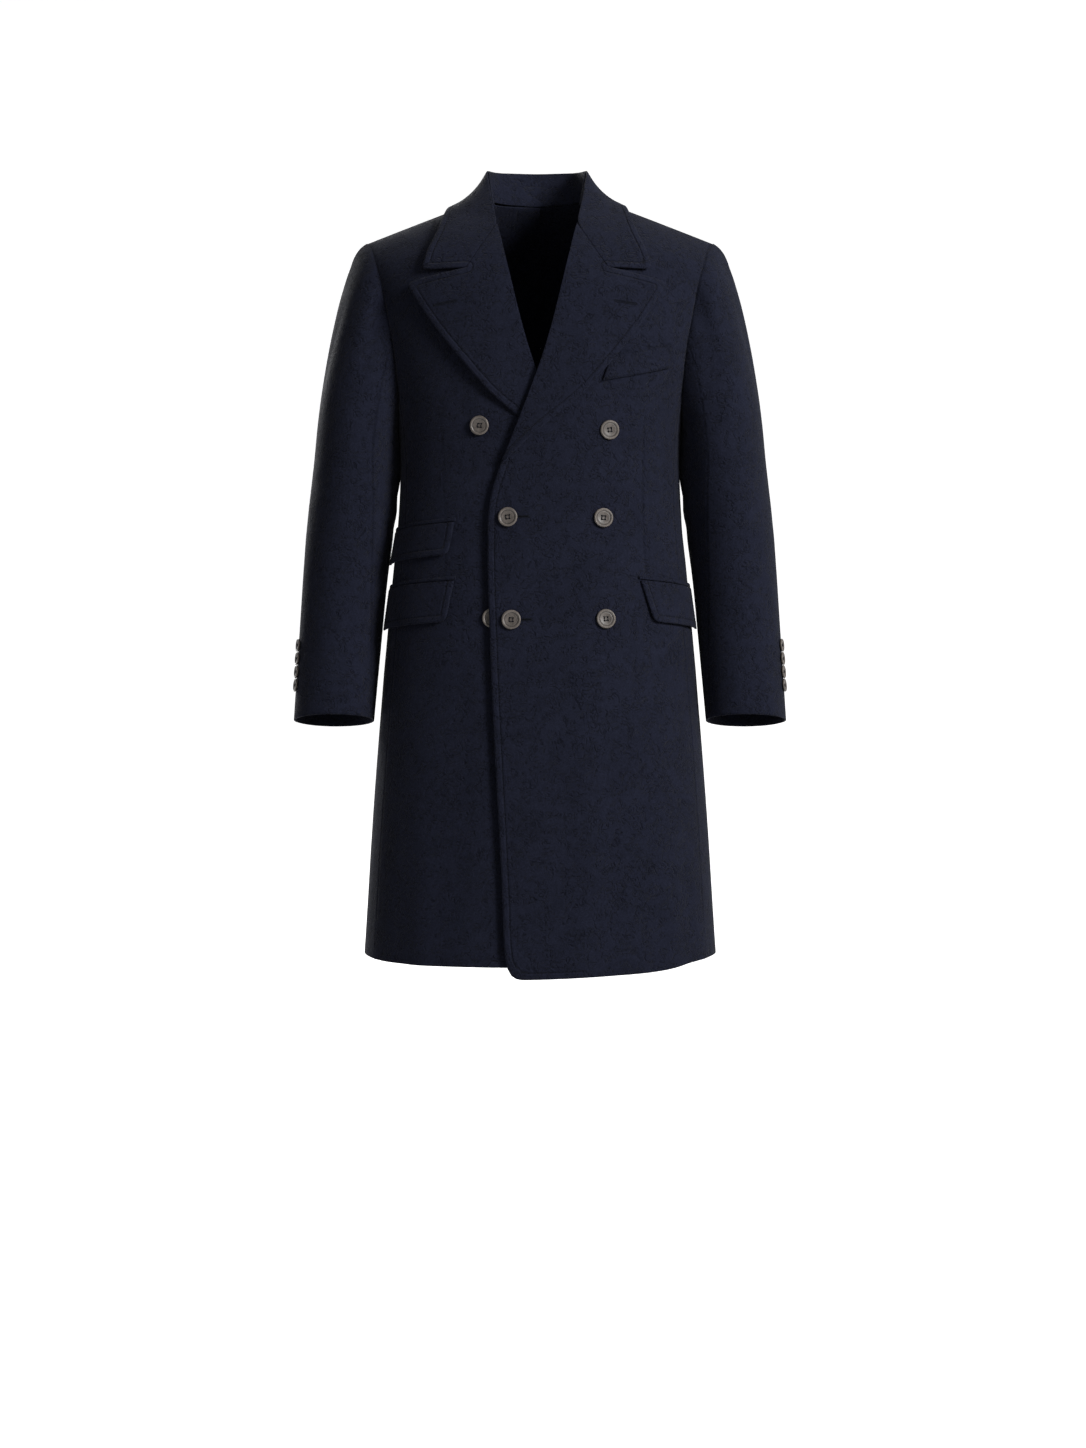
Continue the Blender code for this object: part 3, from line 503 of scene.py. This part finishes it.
def cloth(name, node, levels=2, sleeve=0, rounded=(), roundness=0.1):
    """A smooth, pressed copy of a cloth node, with its two sides marked.

    Rounded lists corners as (x, z) where the outline turns softly, most of all at roundness 0.
    """
    build = bmesh.new()
    build.from_mesh(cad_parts[node].data)
    bmesh.ops.remove_doubles(build, verts=build.verts[:], dist=WELD * MM)
    bmesh.ops.join_triangles(build, faces=build.faces[:], angle_face_threshold=FLAT,
                             angle_shape_threshold=SQUARE)
    sides = flood(build.faces)[:2]
    middle = sum((vert.co for vert in build.verts), Vector()) / len(build.verts)
    if not sleeve:
        middle.x = middle.y = 0.0
    sides.sort(key=lambda group: -outward_share(group, middle))
    for mark, group in ((OUTER, sides[0]), (INNER, sides[1])):
        for face in group:
            face.material_index = mark
    for vert in build.verts:
        # a rim point moves out once for each direction that the rim faces there
        ways = []
        for face in vert.link_faces:
            on_rim = face.material_index not in (OUTER, INNER)
            if on_rim and all(face.normal.dot(way) < SAME_WAY for way in ways):
                ways.append(face.normal.copy())
        in_armhole = sleeve and abs(vert.co.x) < ARM_FREE * MM and vert.co.z > UNDERARM * MM
        vert.co += sum(ways, Vector((0, 0, 0))) * (SET_IN if in_armhole else SEW_UP) * MM
    pinned = build.verts.layers.float.new("crease_vert")
    for vert in build.verts:
        at = (abs(vert.co.x) / MM, vert.co.y / MM, vert.co.z / MM)
        if any(math.dist(at, place) < PIN_NEAR for place in SEAMS_MEET):
            vert[pinned] = 1.0
    crease = build.edges.layers.float.new("crease_edge")
    for edge in build.edges:
        if edge.calc_face_angle(0.0) > SHARP:
            edge[crease] = 1.0
            across_rim = all(face.material_index not in (OUTER, INNER) for face in edge.link_faces)
            at = edge.verts[0].co / MM
            near = any(math.dist((at.x, at.z), place) < CORNER_NEAR for place in rounded)
            if across_rim and near:
                edge[crease] = roundness
    piece = made(name, build)
    smooth = piece.modifiers.new("smooth", "SUBSURF")
    smooth.levels = smooth.render_levels = levels
    settle(piece)
    points = points_of(piece)
    move_to(piece, points + give(points, sleeve))
    return piece


def settle(piece):
    """Applies what is on the piece to its mesh."""
    bpy.context.view_layer.update()
    evaluated = piece.evaluated_get(bpy.context.evaluated_depsgraph_get())
    mesh = bpy.data.meshes.new_from_object(evaluated)
    piece.modifiers.clear()
    old, piece.data = piece.data, mesh
    bpy.data.meshes.remove(old)
    mesh.name = piece.name


def points_of(piece):
    """The piece's points in mm."""
    flat = np.zeros(len(piece.data.vertices) * 3)
    piece.data.vertices.foreach_get("co", flat)
    return flat.reshape(-1, 3) / MM


def move_to(piece, points):
    piece.data.vertices.foreach_set("co", (points * MM).ravel())
    piece.data.update()


print("cloth helpers ready")

# %% [markdown]
# ## Edges, seams and the numbers the finish reads
# A swelled edge is made by sewing a line half a finger's breadth inside a turned edge, so that the
# cloth plumps up between the stitches and the edge. To place it, the outline of the outer face is
# walked as one loop of points. A stretch of it between two corners is an edge that is stitched. What
# is left, away from hems and openings, is sewn to a neighbour.

# %% Walk an outline
ON_LINE = 0.5               # a point of the outline this near to a stitched edge is part of it
UNTOUCHED = 99.0            # stored where the next edge or seam is further off than this


def outline(piece):
    """The loop of points round the outer face, in mm and in order."""
    build = bmesh.new()
    build.from_mesh(piece.data)
    rim = [edge for edge in build.edges
           if len({face.material_index == OUTER for face in edge.link_faces}) == 2]
    links = {}
    for edge in rim:
        start, end = edge.verts
        links.setdefault(start.index, []).append(end.index)
        links.setdefault(end.index, []).append(start.index)
    first = next(iter(links))
    loop, at, before = [first], links[first][0], first
    while at != first and len(loop) <= len(links):
        loop.append(at)
        onward = [other for other in links[at] if other != before]
        before, at = at, onward[0]
    build.free()
    return points_of(piece)[loop]


def stretch(loop, start, through, end):
    """The part of a loop from near start to near end by way of through, each given as (x, z)."""
    def near(place):
        return int(np.argmin(np.hypot(loop[:, 0] - place[0], loop[:, 2] - place[1])))
    turned = np.roll(loop, -near(start), axis=0)
    count = len(loop)
    by_way, last = (near(through) - near(start)) % count, (near(end) - near(start)) % count
    if by_way <= last:
        return turned[:last + 1]
    return np.concatenate([turned[:1], turned[last:][::-1]])


def midway(start, end):
    return tuple((a + b) / 2 for a, b in zip(start, end))


def surface(piece, side=None):
    """The piece's faces, or those of one side alone, to lay stitches and lines on."""
    return BVHTree.FromPolygons([vert.co.copy() for vert in piece.data.vertices],
                                [tuple(face.vertices) for face in piece.data.polygons
                                 if side in (None, face.material_index)])


def dress(piece, stitched=(), is_open=None, darts=(), rounding=0.85):
    """Stores how far each point is from a stitched edge and from a seam, then rounds the rim."""
    tree, loop = surface(piece, OUTER), outline(piece)
    lines = [stretch(loop, *corners) for corners in stitched]
    free = np.zeros(len(loop), bool)
    for line in lines:
        free |= along(loop, line)[0] < ON_LINE
    if is_open:
        free |= np.array([is_open(*point) for point in loop])
    build = bmesh.new()
    build.from_mesh(piece.data)
    rims = [edge for edge in build.edges if edge.calc_face_angle(0.0) > SHARP]
    bmesh.ops.bevel(build, geom=rims, offset=rounding * MM, offset_type="OFFSET", segments=2,
                    profile=0.5, affect="EDGES", material=-1, clamp_overlap=True)
    build.to_mesh(piece.data)
    build.free()
    points = points_of(piece)
    edge_mm, run_mm, seam_mm = (np.full(len(points), UNTOUCHED) for _ in range(3))
    for line in lines:
        far, share, long = along(points, line)
        closer = far < edge_mm
        edge_mm[closer], run_mm[closer] = far[closer], share[closer] * long
    following = np.roll(free, -1)
    for index in np.flatnonzero(~free & ~following):
        pair = loop[[index, (index + 1) % len(loop)]]
        seam_mm = np.minimum(seam_mm, along(points, pair)[0])
    for dart in darts:
        seam_mm = np.minimum(seam_mm, along(points, dart)[0])
    for name, values in (("edge_mm", edge_mm), ("run_mm", run_mm), ("seam_mm", seam_mm)):
        piece.data.attributes.new(name, "FLOAT", "POINT").data.foreach_set("value", values)
    for face in piece.data.polygons:
        face.material_index = 0
        face.use_smooth = True
    piece.data.materials.clear()
    piece.data.materials.append(wool)
    return [(tree, line) for line in lines]


def belongs(piece, slot, *nodes):
    """The piece rides on the coat and stands for its nodes, whose imported parts are hidden. The slot is
    not used.
    """
    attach(piece, "root")
    if nodes:
        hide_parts(*nodes)


def tell(piece):
    """Prints the piece's faces and the area of one layer, in square metres."""
    area = sum(face.area for face in piece.data.polygons) / 2
    print(piece.name, "faces", len(piece.data.polygons), "area %.4f" % area)


print("outline helpers ready")

# %% [markdown]
# ## The body of the coat
# Six panels make the body: two fronts that cross over, two sides under the arms, and two backs with a
# seam down the middle. Each is cut flat and curves only where a seam or a dart takes cloth away. The
# left front lies on top and its edge is stitched from the end of the lapel to the hem and a hand's
# length along the hem. Each front has one dart, from under the chest to the hip pocket.

# %% Fronts, sides and backs
LAPEL_END = {"left": (-49.0, -349.0), "right": (41.0, -349.0)}
HEM_CORNER = {"left": (-44.0, -1027.0), "right": (34.0, -1011.0)}
HEM_STITCHED_TO = {"left": (56.0, -1026.0), "right": (-60.0, -1008.0)}
HALF_DOWN = {"left": (-66.0, -700.0), "right": (58.0, -700.0)}
# The front sinks in a hollow round the welt's mouth and along each dart, and the finish paints shade into
# that hollow.
WELT_MOUTH = ((92.5, -211.5), (171.8, -195.4), (170.0, -226.5))  # where the front sinks round the welt
DARTS = {
    "left": ((136.1, -301.0), (134.8, -394.5), (137.4, -473.5), (140.0, -505.0)),
    "right": ((-129.4, -295.0), (-126.8, -364.7), (-122.9, -429.5), (-125.5, -560.0)),
}
# width and length as cut, area as cut, in metres
PANEL_CUTS = {"front_left": (0.345, 1.05, 0.262), "front_right": (0.330, 1.04, 0.248),
              "side": (0.160, 0.76, 0.094), "back": (0.270, 1.03, 0.216)}
HEM = -955.0                # below this an outline is a hem
SEWN = 0.35                 # a sewn edge is rounded by less than a free one


def onto(tree, x, z, ahead=-400.0):
    """Where a level line from the front meets the cloth, in mm, and which way the cloth faces."""
    hit, normal, _, _ = tree.ray_cast(Vector((x, ahead, z)) * MM, Vector((0, 1, 0)))
    return hit / MM, normal


def laid(tree, path, step_long=4.0):
    """A path of (x, z) laid on the cloth as points in mm."""
    points = []
    for start, end in zip(path[:-1], path[1:]):
        count = max(1, int(math.dist(start, end) / step_long))
        for number in range(count):
            share = number / count
            hit, _ = onto(tree, *(a + (b - a) * share for a, b in zip(start, end)))
            points.append(tuple(hit))
    return np.array(points)


edge_lines = {}             # for each piece: its outer face with each line along its edge
for side in ("left", "right"):
    name = "front_" + side
    panel = cloth("cloth_" + name, name, rounded=[HEM_CORNER[side]])
    tree = surface(panel)
    edge = (LAPEL_END[side], HALF_DOWN[side], HEM_CORNER[side])
    hem = (HEM_CORNER[side], midway(HEM_CORNER[side], HEM_STITCHED_TO[side]), HEM_STITCHED_TO[side])
    sunk = [laid(tree, DARTS[side])] + ([laid(tree, WELT_MOUTH)] if side == "left" else [])
    edge_lines[name] = dress(panel, (edge, hem), lambda x, y, z: z < HEM, sunk, SEWN)
    belongs(panel, "wool", name)
    width, long, area = PANEL_CUTS[name]
    "cloth_back_" + side
    tell(panel)

for side in ("left", "right"):
    for part in ("side", "back"):
        name = "%s_%s" % (part, side)
        panel = cloth("cloth_" + name, name)
        dress(panel, (), lambda x, y, z: z < HEM, rounding=SEWN)
        belongs(panel, "wool", name)
        width, long, area = PANEL_CUTS[part]
        "cloth_front_" + side
        tell(panel)

# %% [markdown]
# ## The sleeves
# A tailored sleeve has two pieces, a wide one outside and a narrow one inside, so that it can bend at
# the elbow as an arm does. The seams run down the front and the back of the arm. The bend shows as
# short soft hollows across the inner elbow, and the cuff is turned up inside, with no stitching.

# %% Sleeves
SLEEVE_CUTS = {"top": (0.245, 0.66, 0.128), "under": (0.175, 0.56, 0.075)}
CUFF = -684.0
for side, hand in (("left", 1), ("right", -1)):
    for part in ("top", "under"):
        name = "sleeve_%s_%s" % (part, side)
        panel = cloth("cloth_" + name, name, sleeve=hand)
        dress(panel, (), lambda x, y, z: z < CUFF, rounding=SEWN)
        belongs(panel, "wool", name)
        width, long, area = SLEEVE_CUTS[part]
        "cloth_front_" + side
        tell(panel)

# %% [markdown]
# ## Lapels and collar
# A lapel is the front's own facing turned back, and the collar rolls over a stand that holds it up
# round the neck. They show two layers of cloth with canvas between, so their edges are plump and the
# line of stitches sits well inside. The notch between them is where the collar stops short of the
# lapel's peak. The whole free edge is stitched, the fold and the seam to the collar are not.

# %% Lapels, collar and stand
NECK_CENTRE = -4.0
# from the neck centre towards the piece's own side, and height
NOTCH, PEAK, LAPEL_LOW = (91.0, -101.0), (169.0, -115.5), (-45.0, -349.0)
LAPEL_MIDDLE = (85.0, -232.0)
COLLAR_TIP, COLLAR_BACK = (149.0, -101.0), (0.0, -14.0)
STAND_TOP, STAND_FRONT = 5.0, 30.0  # above or in front of this the stand's outline isn't sewn


def on_side(hand, *places):
    return [(NECK_CENTRE + hand * x, z) for x, z in places]


for side, hand in (("left", 1), ("right", -1)):
    name = "lapel_" + side
    piece = cloth("cloth_" + name, name, rounded=on_side(hand, PEAK))
    edge_lines[name] = dress(piece, (on_side(hand, NOTCH, midway(NOTCH, PEAK), PEAK),
                                     on_side(hand, PEAK, LAPEL_MIDDLE, LAPEL_LOW)),
                             lambda x, y, z: True)
    belongs(piece, "wool", name)
    "cloth_front_" + side
    tell(piece)

piece = cloth("cloth_collar_fall", "collar_fall",
              rounded=on_side(1, COLLAR_TIP) + on_side(-1, COLLAR_TIP))
ends = [on_side(hand, NOTCH, midway(NOTCH, COLLAR_TIP), COLLAR_TIP) for hand in (1, -1)]
round_back = (ends[0][2], on_side(1, COLLAR_BACK)[0], ends[1][2])
edge_lines["collar_fall"] = dress(piece, (ends[0], round_back, ends[1]), lambda x, y, z: True)
belongs(piece, "wool", "collar_fall")
tell(piece)

piece = cloth("cloth_collar_stand", "collar_stand")
dress(piece, (), lambda x, y, z: z > STAND_TOP or y < STAND_FRONT)
belongs(piece, "wool", "collar_stand")
tell(piece)

# %% [markdown]
# ## Pockets
# Three flaps hang from pocket mouths cut through the fronts: two at the hips and a smaller ticket
# pocket above the right one. A flap is faced and stitched like the lapels. Above each one a narrow
# jet, a folded strip, binds the cut. The breast pocket has a welt instead, a strip that stands up from
# below and is sewn down at both ends.

# %% Flaps, jets and welt
# node, corners as (x, z): top front, bottom front, bottom rear, top rear; cut width, length, area
FLAPS = (
    ("flap_ticket", (-112, -431), (-120, -474), (-201, -484), (-199, -441), 0.150, 0.045, 0.0063),
    ("flap_right", (-112, -508), (-122, -562), (-210, -571), (-207, -517), 0.160, 0.056, 0.0084),
    ("flap_left", (130.5, -507), (147.5, -561), (208, -569), (206, -515), 0.130, 0.056, 0.0070),
)
FLAP_ROUNDING = 1.3
for name, top_front, low_front, low_rear, top_rear, width, long, area in FLAPS:
    side = "left" if name == "flap_left" else "right"
    piece = cloth("cloth_" + name, name, rounded=(low_front, low_rear), roundness=0.0)
    corners = (top_front, low_front, low_rear, top_rear)
    edge_lines[name] = dress(piece, [(start, midway(start, end), end)
                                     for start, end in zip(corners, corners[1:])],
                             lambda x, y, z: True, rounding=FLAP_ROUNDING)
    belongs(piece, "wool", name)
    "cloth_front_" + side
    jet_name = name.replace("flap", "jet")
    jet = cloth("cloth_" + jet_name, jet_name, levels=1)
    dress(jet, (), lambda x, y, z: True)
    belongs(jet, "wool", jet_name)
    "cloth_front_" + side
    tell(piece)
    tell(jet)

piece = cloth("cloth_breast_welt", "breast_welt")
dress(piece, (), lambda x, y, z: False)
belongs(piece, "wool", "breast_welt")
tell(piece)

# %% [markdown]
# ## Stitches
# Each stitch on a swelled edge is a short loop of thread that pulls the cloth down where it goes in.
# A long thin ball, the cheapest solid that reads as thread, stands for each. It is laid a fixed way
# inside the edge: across the outer face from a point on the edge, at right angles to it. Of the two
# ways across, the right one is the one that lands on the cloth.

# %% Stitches along the edges
THREAD_HALF = 0.34          # half its width
THREAD_SUNK = 0.12          # how far its middle lies under the cloth's face
THREAD_SHARE = 0.36         # half its length, for each mm from stitch to stitch
LINE_END = 0.6              # the line stops this share of its inset before the corner


def stitch(build, centre, lengthways, out, half_long, half_wide, half_high):
    """One loop of thread at a point in mm."""
    sideways = out.cross(lengthways).normalized()
    lengthways = sideways.cross(out).normalized()
    turned = Matrix((lengthways, sideways, out)).transposed().to_4x4()
    size = Matrix.Diagonal((half_long * MM, half_wide * MM, half_high * MM, 1.0))
    bmesh.ops.create_icosphere(build, subdivisions=1, radius=1.0,
                               matrix=Matrix.Translation(Vector(centre) * MM) @ turned @ size)


def sew(build, tree, line, inside=STITCH_IN, pitch=STITCH_LONG):
    """Stitches along a line of points, a way inside it on the outer face."""
    reach = np.concatenate([[0.0], np.cumsum(np.linalg.norm(np.diff(line, axis=0), axis=1))])
    count = 0
    for at in np.arange(inside, reach[-1] - inside * LINE_END, pitch):
        here, ahead = (Vector([np.interp(at + more, reach, line[:, axis]) for axis in range(3)])
                       for more in (0.0, 1.0))
        lengthways = (ahead - here).normalized()
        out = tree.find_nearest(here * MM)[1]
        tries = []
        for way in (1, -1):
            aim = here + out.cross(lengthways) * way * inside
            hit, normal, _, far = tree.find_nearest(aim * MM)
            tries.append((far, hit / MM, normal))
        far, hit, normal = min(tries, key=lambda item: item[0])
        stitch(build, hit - normal * THREAD_SUNK, lengthways, normal, pitch * THREAD_SHARE,
               THREAD_HALF, THREAD_HALF)
        count += 1
    return count


for name in ("lapel_left", "lapel_right", "collar_fall", "front_left", "flap_ticket", "flap_right",
             "flap_left"):
    build = bmesh.new()
    count = sum(sew(build, tree, line) for tree, line in edge_lines[name])
    piece = made("stitches_" + name, build, thread)
    belongs(piece, "wool")
    print(piece.name, "stitches", count)

# %% [markdown]
# ## Buttons
# The buttons are horn, cut from the tip and turned on a lathe: a round rim, a groove inside it, and a
# shallow dish with four holes. The outline is spun round once, and the holes are cut with four pegs.
# Each is sewn on with navy thread that crosses from hole to hole in a square. There are seven on the
# front, one of them half under the edge, and four small ones on each cuff.

# %% Horn
horn, tree, shader = finish_of("brown_grey_horn", (0.060, 0.050, 0.043, 1.0), Specular_IOR_Level=0.5,
                               Coat_Roughness=0.25)
at = add(tree, "ShaderNodeTexCoord").outputs["Object"]
streaked = add(tree, "ShaderNodeMapping", {}, {"Vector": at, "Rotation": (0.3, 0.5, 0.9),
                                               "Scale": (1.0, 0.18, 1.0)}).outputs[0]
streak = noise(tree, streaked, 420.0, 4.0, 0.6, 1.2)
cloud = noise(tree, at, 110.0, 2.0)
turned = field(tree, "turned_mm")
# Painted shade: the colour is darker in the groove and in the dish, the button's hollows, so the rim reads
# lighter.
groove_shade = hump(turned, 8.9, 0.75)
dish_shade = 1.0 - step(turned, 7.4, 8.6)
share = ((streak - 0.5) * 1.2 + (cloud - 0.5) * 0.8 + 0.72 - dish_shade * 0.20 - groove_shade * 0.75).held()
tree.links.new(blend(tree, share, (0.010, 0.0085, 0.008, 1.0), (0.158, 0.133, 0.116, 1.0)),
               shader.inputs["Base Color"])
tree.links.new((0.34 + streak * 0.22).held().socket, shader.inputs["Roughness"])
bump = add(tree, "ShaderNodeBump", {}, {"Height": streak * 0.05 * MM, "Distance": 1.0})
tree.links.new(bump.outputs[0], shader.inputs["Normal"])

# %% One button, turned and drilled
BUTTON_RADIUS, BUTTON_THICK = 12.7, 4.0
# distance from the centre, height above the cloth
BUTTON_OUTLINE = ((0.0, 0.0), (9.4, 0.0), (11.6, 0.8), (12.55, 1.9), (BUTTON_RADIUS, 2.7),
                  (12.4, 3.45), (11.7, 3.9), (10.9, 3.96), (10.2, 3.7), (9.6, 3.15), (9.1, 2.72),
                  (8.6, 2.62), (8.1, 2.82), (7.4, 2.74), (5.4, 2.3), (3.9, 2.12), (0.0, 2.0))
HOLE_AT, HOLE_RADIUS = 2.3, 1.25
BUTTON_STEPS = 40
ARM_MIDDLE = 270.0          # a cuff's buttons face away from a point this far out, inside the arm


def turned_button():
    """A horn button lying at the origin, facing up."""
    build = bmesh.new()
    verts = [build.verts.new((across * MM, 0, up * MM)) for across, up in BUTTON_OUTLINE]
    edges = [build.edges.new(pair) for pair in zip(verts, verts[1:])]
    bmesh.ops.spin(build, geom=verts + edges, cent=(0, 0, 0), axis=(0, 0, 1), angle=math.tau,
                   steps=BUTTON_STEPS, use_merge=True)
    bmesh.ops.remove_doubles(build, verts=build.verts[:], dist=0.01 * MM)
    bmesh.ops.recalc_face_normals(build, faces=build.faces[:])
    blank = made("button_blank", build)
    build = bmesh.new()
    for x, y in ((1, 1), (1, -1), (-1, 1), (-1, -1)):
        bmesh.ops.create_cone(build, cap_ends=True, segments=12, radius1=HOLE_RADIUS * MM,
                              radius2=HOLE_RADIUS * MM, depth=BUTTON_THICK * 3 * MM,
                              matrix=Matrix.Translation((x * HOLE_AT * MM, y * HOLE_AT * MM, 0)))
    pegs = made("pegs", build)
    drill = blank.modifiers.new("drill", "BOOLEAN")
    drill.operation, drill.solver, drill.object = "DIFFERENCE", "EXACT", pegs
    settle(blank)
    turned = blank.data.attributes.new("turned_mm", "FLOAT", "POINT")
    for vert, mark in zip(blank.data.vertices, turned.data):
        mark.value = math.hypot(vert.co.x, vert.co.y) / MM
    bpy.data.objects.remove(pegs, do_unlink=True)
    return blank


def sits(node):
    """Where a button lies on the cloth, in mm, and which way it faces."""
    points = np.array([tuple(vert.co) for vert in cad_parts[node].data.vertices]) / MM
    middle = points.mean(axis=0)
    out = np.linalg.svd(points - middle, full_matrices=False)[2][2]
    heart = np.array([0.0, 0.0, middle[2]])
    if node.startswith("cuff"):
        heart[0] = math.copysign(ARM_MIDDLE, middle[0])
    out = out * math.copysign(1.0, float(out @ (middle - heart)))
    foot = middle + out * float(((points - middle) @ out).min())
    hand = int(math.copysign(1, middle[0])) if node.startswith("cuff") else 0
    return Vector(foot + give(foot[None, :], hand)[0]), Vector(out)


blank = turned_button()
print("button blank faces", len(blank.data.polygons))

# %% Sew the buttons on
BUTTON_TURNS = (3, -5, 8, -2, 6, -7, 2, 10, -4, 5, -9, 4, -3, 7, -6)     # degrees, uneven by hand
CUFF_RADIUS = 8.8
CUFF_SCALE = (CUFF_RADIUS / BUTTON_RADIUS, CUFF_RADIUS / BUTTON_RADIUS, 0.75)
CROSS_HIGH = 2.42           # where the thread crosses, above the cloth
CROSS_LAYERS = (0.0, 0.4)   # a second layer of thread lies on the first, and a little further out
CROSS_LONG = 1.35           # half a bar of thread, for each mm from the centre to a hole
CROSS_HALF_WIDE, CROSS_HALF_HIGH = 0.36, 0.32
SHANK_RADIUS, SHANK_LONG, SHANK_AT = 1.6, 1.2, 0.1      # the stem of thread under the button
nodes = sorted(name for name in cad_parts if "button" in name)
for node, degrees in zip(nodes, BUTTON_TURNS):
    foot, out = sits(node)
    size = CUFF_SCALE if node.startswith("cuff") else (1.0, 1.0, 1.0)
    lie = out.to_track_quat("Z", "Y").to_matrix().to_4x4()
    lie = Matrix.Translation(foot * MM) @ lie @ Matrix.Rotation(math.radians(degrees), 4, "Z")
    build = bmesh.new()
    build.from_mesh(blank.data)
    build.transform(lie @ Matrix.Diagonal((*size, 1.0)))
    piece = made("horn_" + node, build, horn)
    piece.data.set_sharp_from_angle(angle=math.radians(38))
    belongs(piece, "horn", node)
    build = bmesh.new()
    reach = HOLE_AT * size[0]
    for x, y in ((1, 0), (-1, 0), (0, 1), (0, -1)):
        for lift in CROSS_LAYERS:
            off = reach + lift * 0.5 - 0.1
            centre = Vector((x * off, y * off, CROSS_HIGH * size[2] + lift))
            stitch(build, centre, Vector((y, x, 0)), Vector((0, 0, 1)), reach * CROSS_LONG,
                   CROSS_HALF_WIDE, CROSS_HALF_HIGH)
    bmesh.ops.create_cone(build, cap_ends=True, segments=8, radius1=SHANK_RADIUS * MM,
                          radius2=SHANK_RADIUS * MM, depth=SHANK_LONG * MM,
                          matrix=Matrix.Translation((0, 0, SHANK_AT * MM)))
    build.transform(lie)
    cross = made("thread_" + node, build, thread)
    belongs(cross, "wool")
bpy.data.objects.remove(blank, do_unlink=True)
print("buttons", len(nodes))

# %% [markdown]
# ## Buttonholes
# A buttonhole is cut after the front is finished and then worked over by hand: purl stitches stand
# side by side round the slit, and a bar closes its inner end. Two show beside the fastened buttons,
# and each lapel has one near its peak, which no button uses.

# %% Work the buttonholes
# The slit is a thin dark sliver set into the cloth: painted shadow of the open cut, with a little noise in
# its colour.
slit, tree, shader = finish_of("slit_shadow", (0.0016, 0.0018, 0.0026, 1.0), Specular_IOR_Level=0.1)
at = add(tree, "ShaderNodeTexCoord").outputs["Object"]
slit_shade_noise = noise(tree, at, 900.0, 2.0)
tree.links.new(blend(tree, slit_shade_noise, (0.0012, 0.0014, 0.0020, 1.0), (0.0026, 0.0030, 0.0044, 1.0)),
               shader.inputs["Base Color"])
tree.links.new((0.9 + slit_shade_noise * 0.08).socket, shader.inputs["Roughness"])
PURL_PITCH, PURL_OFF, BAR_PITCH = 0.85, 1.25, 0.7
# half sizes of a stitch: along it, across it and up
PURL, BAR = (1.05, 0.42, 0.38), (2.3, 0.42, 0.45)
SLIT_HALF_LONG, SLIT_HALF_HIGH = 1.1, 0.14
PURL_LIFT, BAR_LIFT, SLIT_SUNK = 0.05, 0.15, 0.02
SLIT = {"front_left": 0.85, "lapel_left": 0.22, "lapel_right": 0.22}    # half width: a used one gapes
# name, the piece it is worked in, its two ends as (x, z); the bar is at the second
BUTTONHOLES = (
    ("front_middle", "front_left", (-43.0, -425.2), (-14.8, -424.4)),
    ("front_low", "front_left", (-38.0, -559.6), (-10.8, -559.0)),
    ("lapel_left", "lapel_left", (96.5, -143.6), (126.0, -147.2)),
    ("lapel_right", "lapel_right", (-107.5, -143.2), (-137.5, -148.0)),
)
for name, node, start, end in BUTTONHOLES:
    tree = edge_lines[node][0][0]
    long = math.dist(start, end)
    build, dark = bmesh.new(), bmesh.new()
    (first, out), (last, _) = (onto(tree, *place) for place in (start, end))
    lengthways = (last - first).normalized()
    sideways = out.cross(lengthways).normalized()
    for number in range(int(long / PURL_PITCH)):
        spot = first.lerp(last, (number + 0.5) * PURL_PITCH / long)
        hit, normal, _, _ = tree.find_nearest(spot * MM)
        for way in (1, -1):
            stitch(build, hit / MM + sideways * way * PURL_OFF + normal * PURL_LIFT, sideways,
                   normal, *PURL)
        stitch(dark, hit / MM - normal * SLIT_SUNK, lengthways, normal, SLIT_HALF_LONG, SLIT[node],
               SLIT_HALF_HIGH)
    for number in (-1, 0, 1):
        hit, normal, _, _ = tree.find_nearest((last + lengthways * number * BAR_PITCH) * MM)
        stitch(build, hit / MM + normal * BAR_LIFT, sideways, normal, *BAR)
    worked, dark = made("buttonhole_" + name, build, thread), made("slit_" + name, dark, slit)
    for piece in (worked, dark):
        belongs(piece, "wool")
    print(worked.name, "long %.1f" % long)
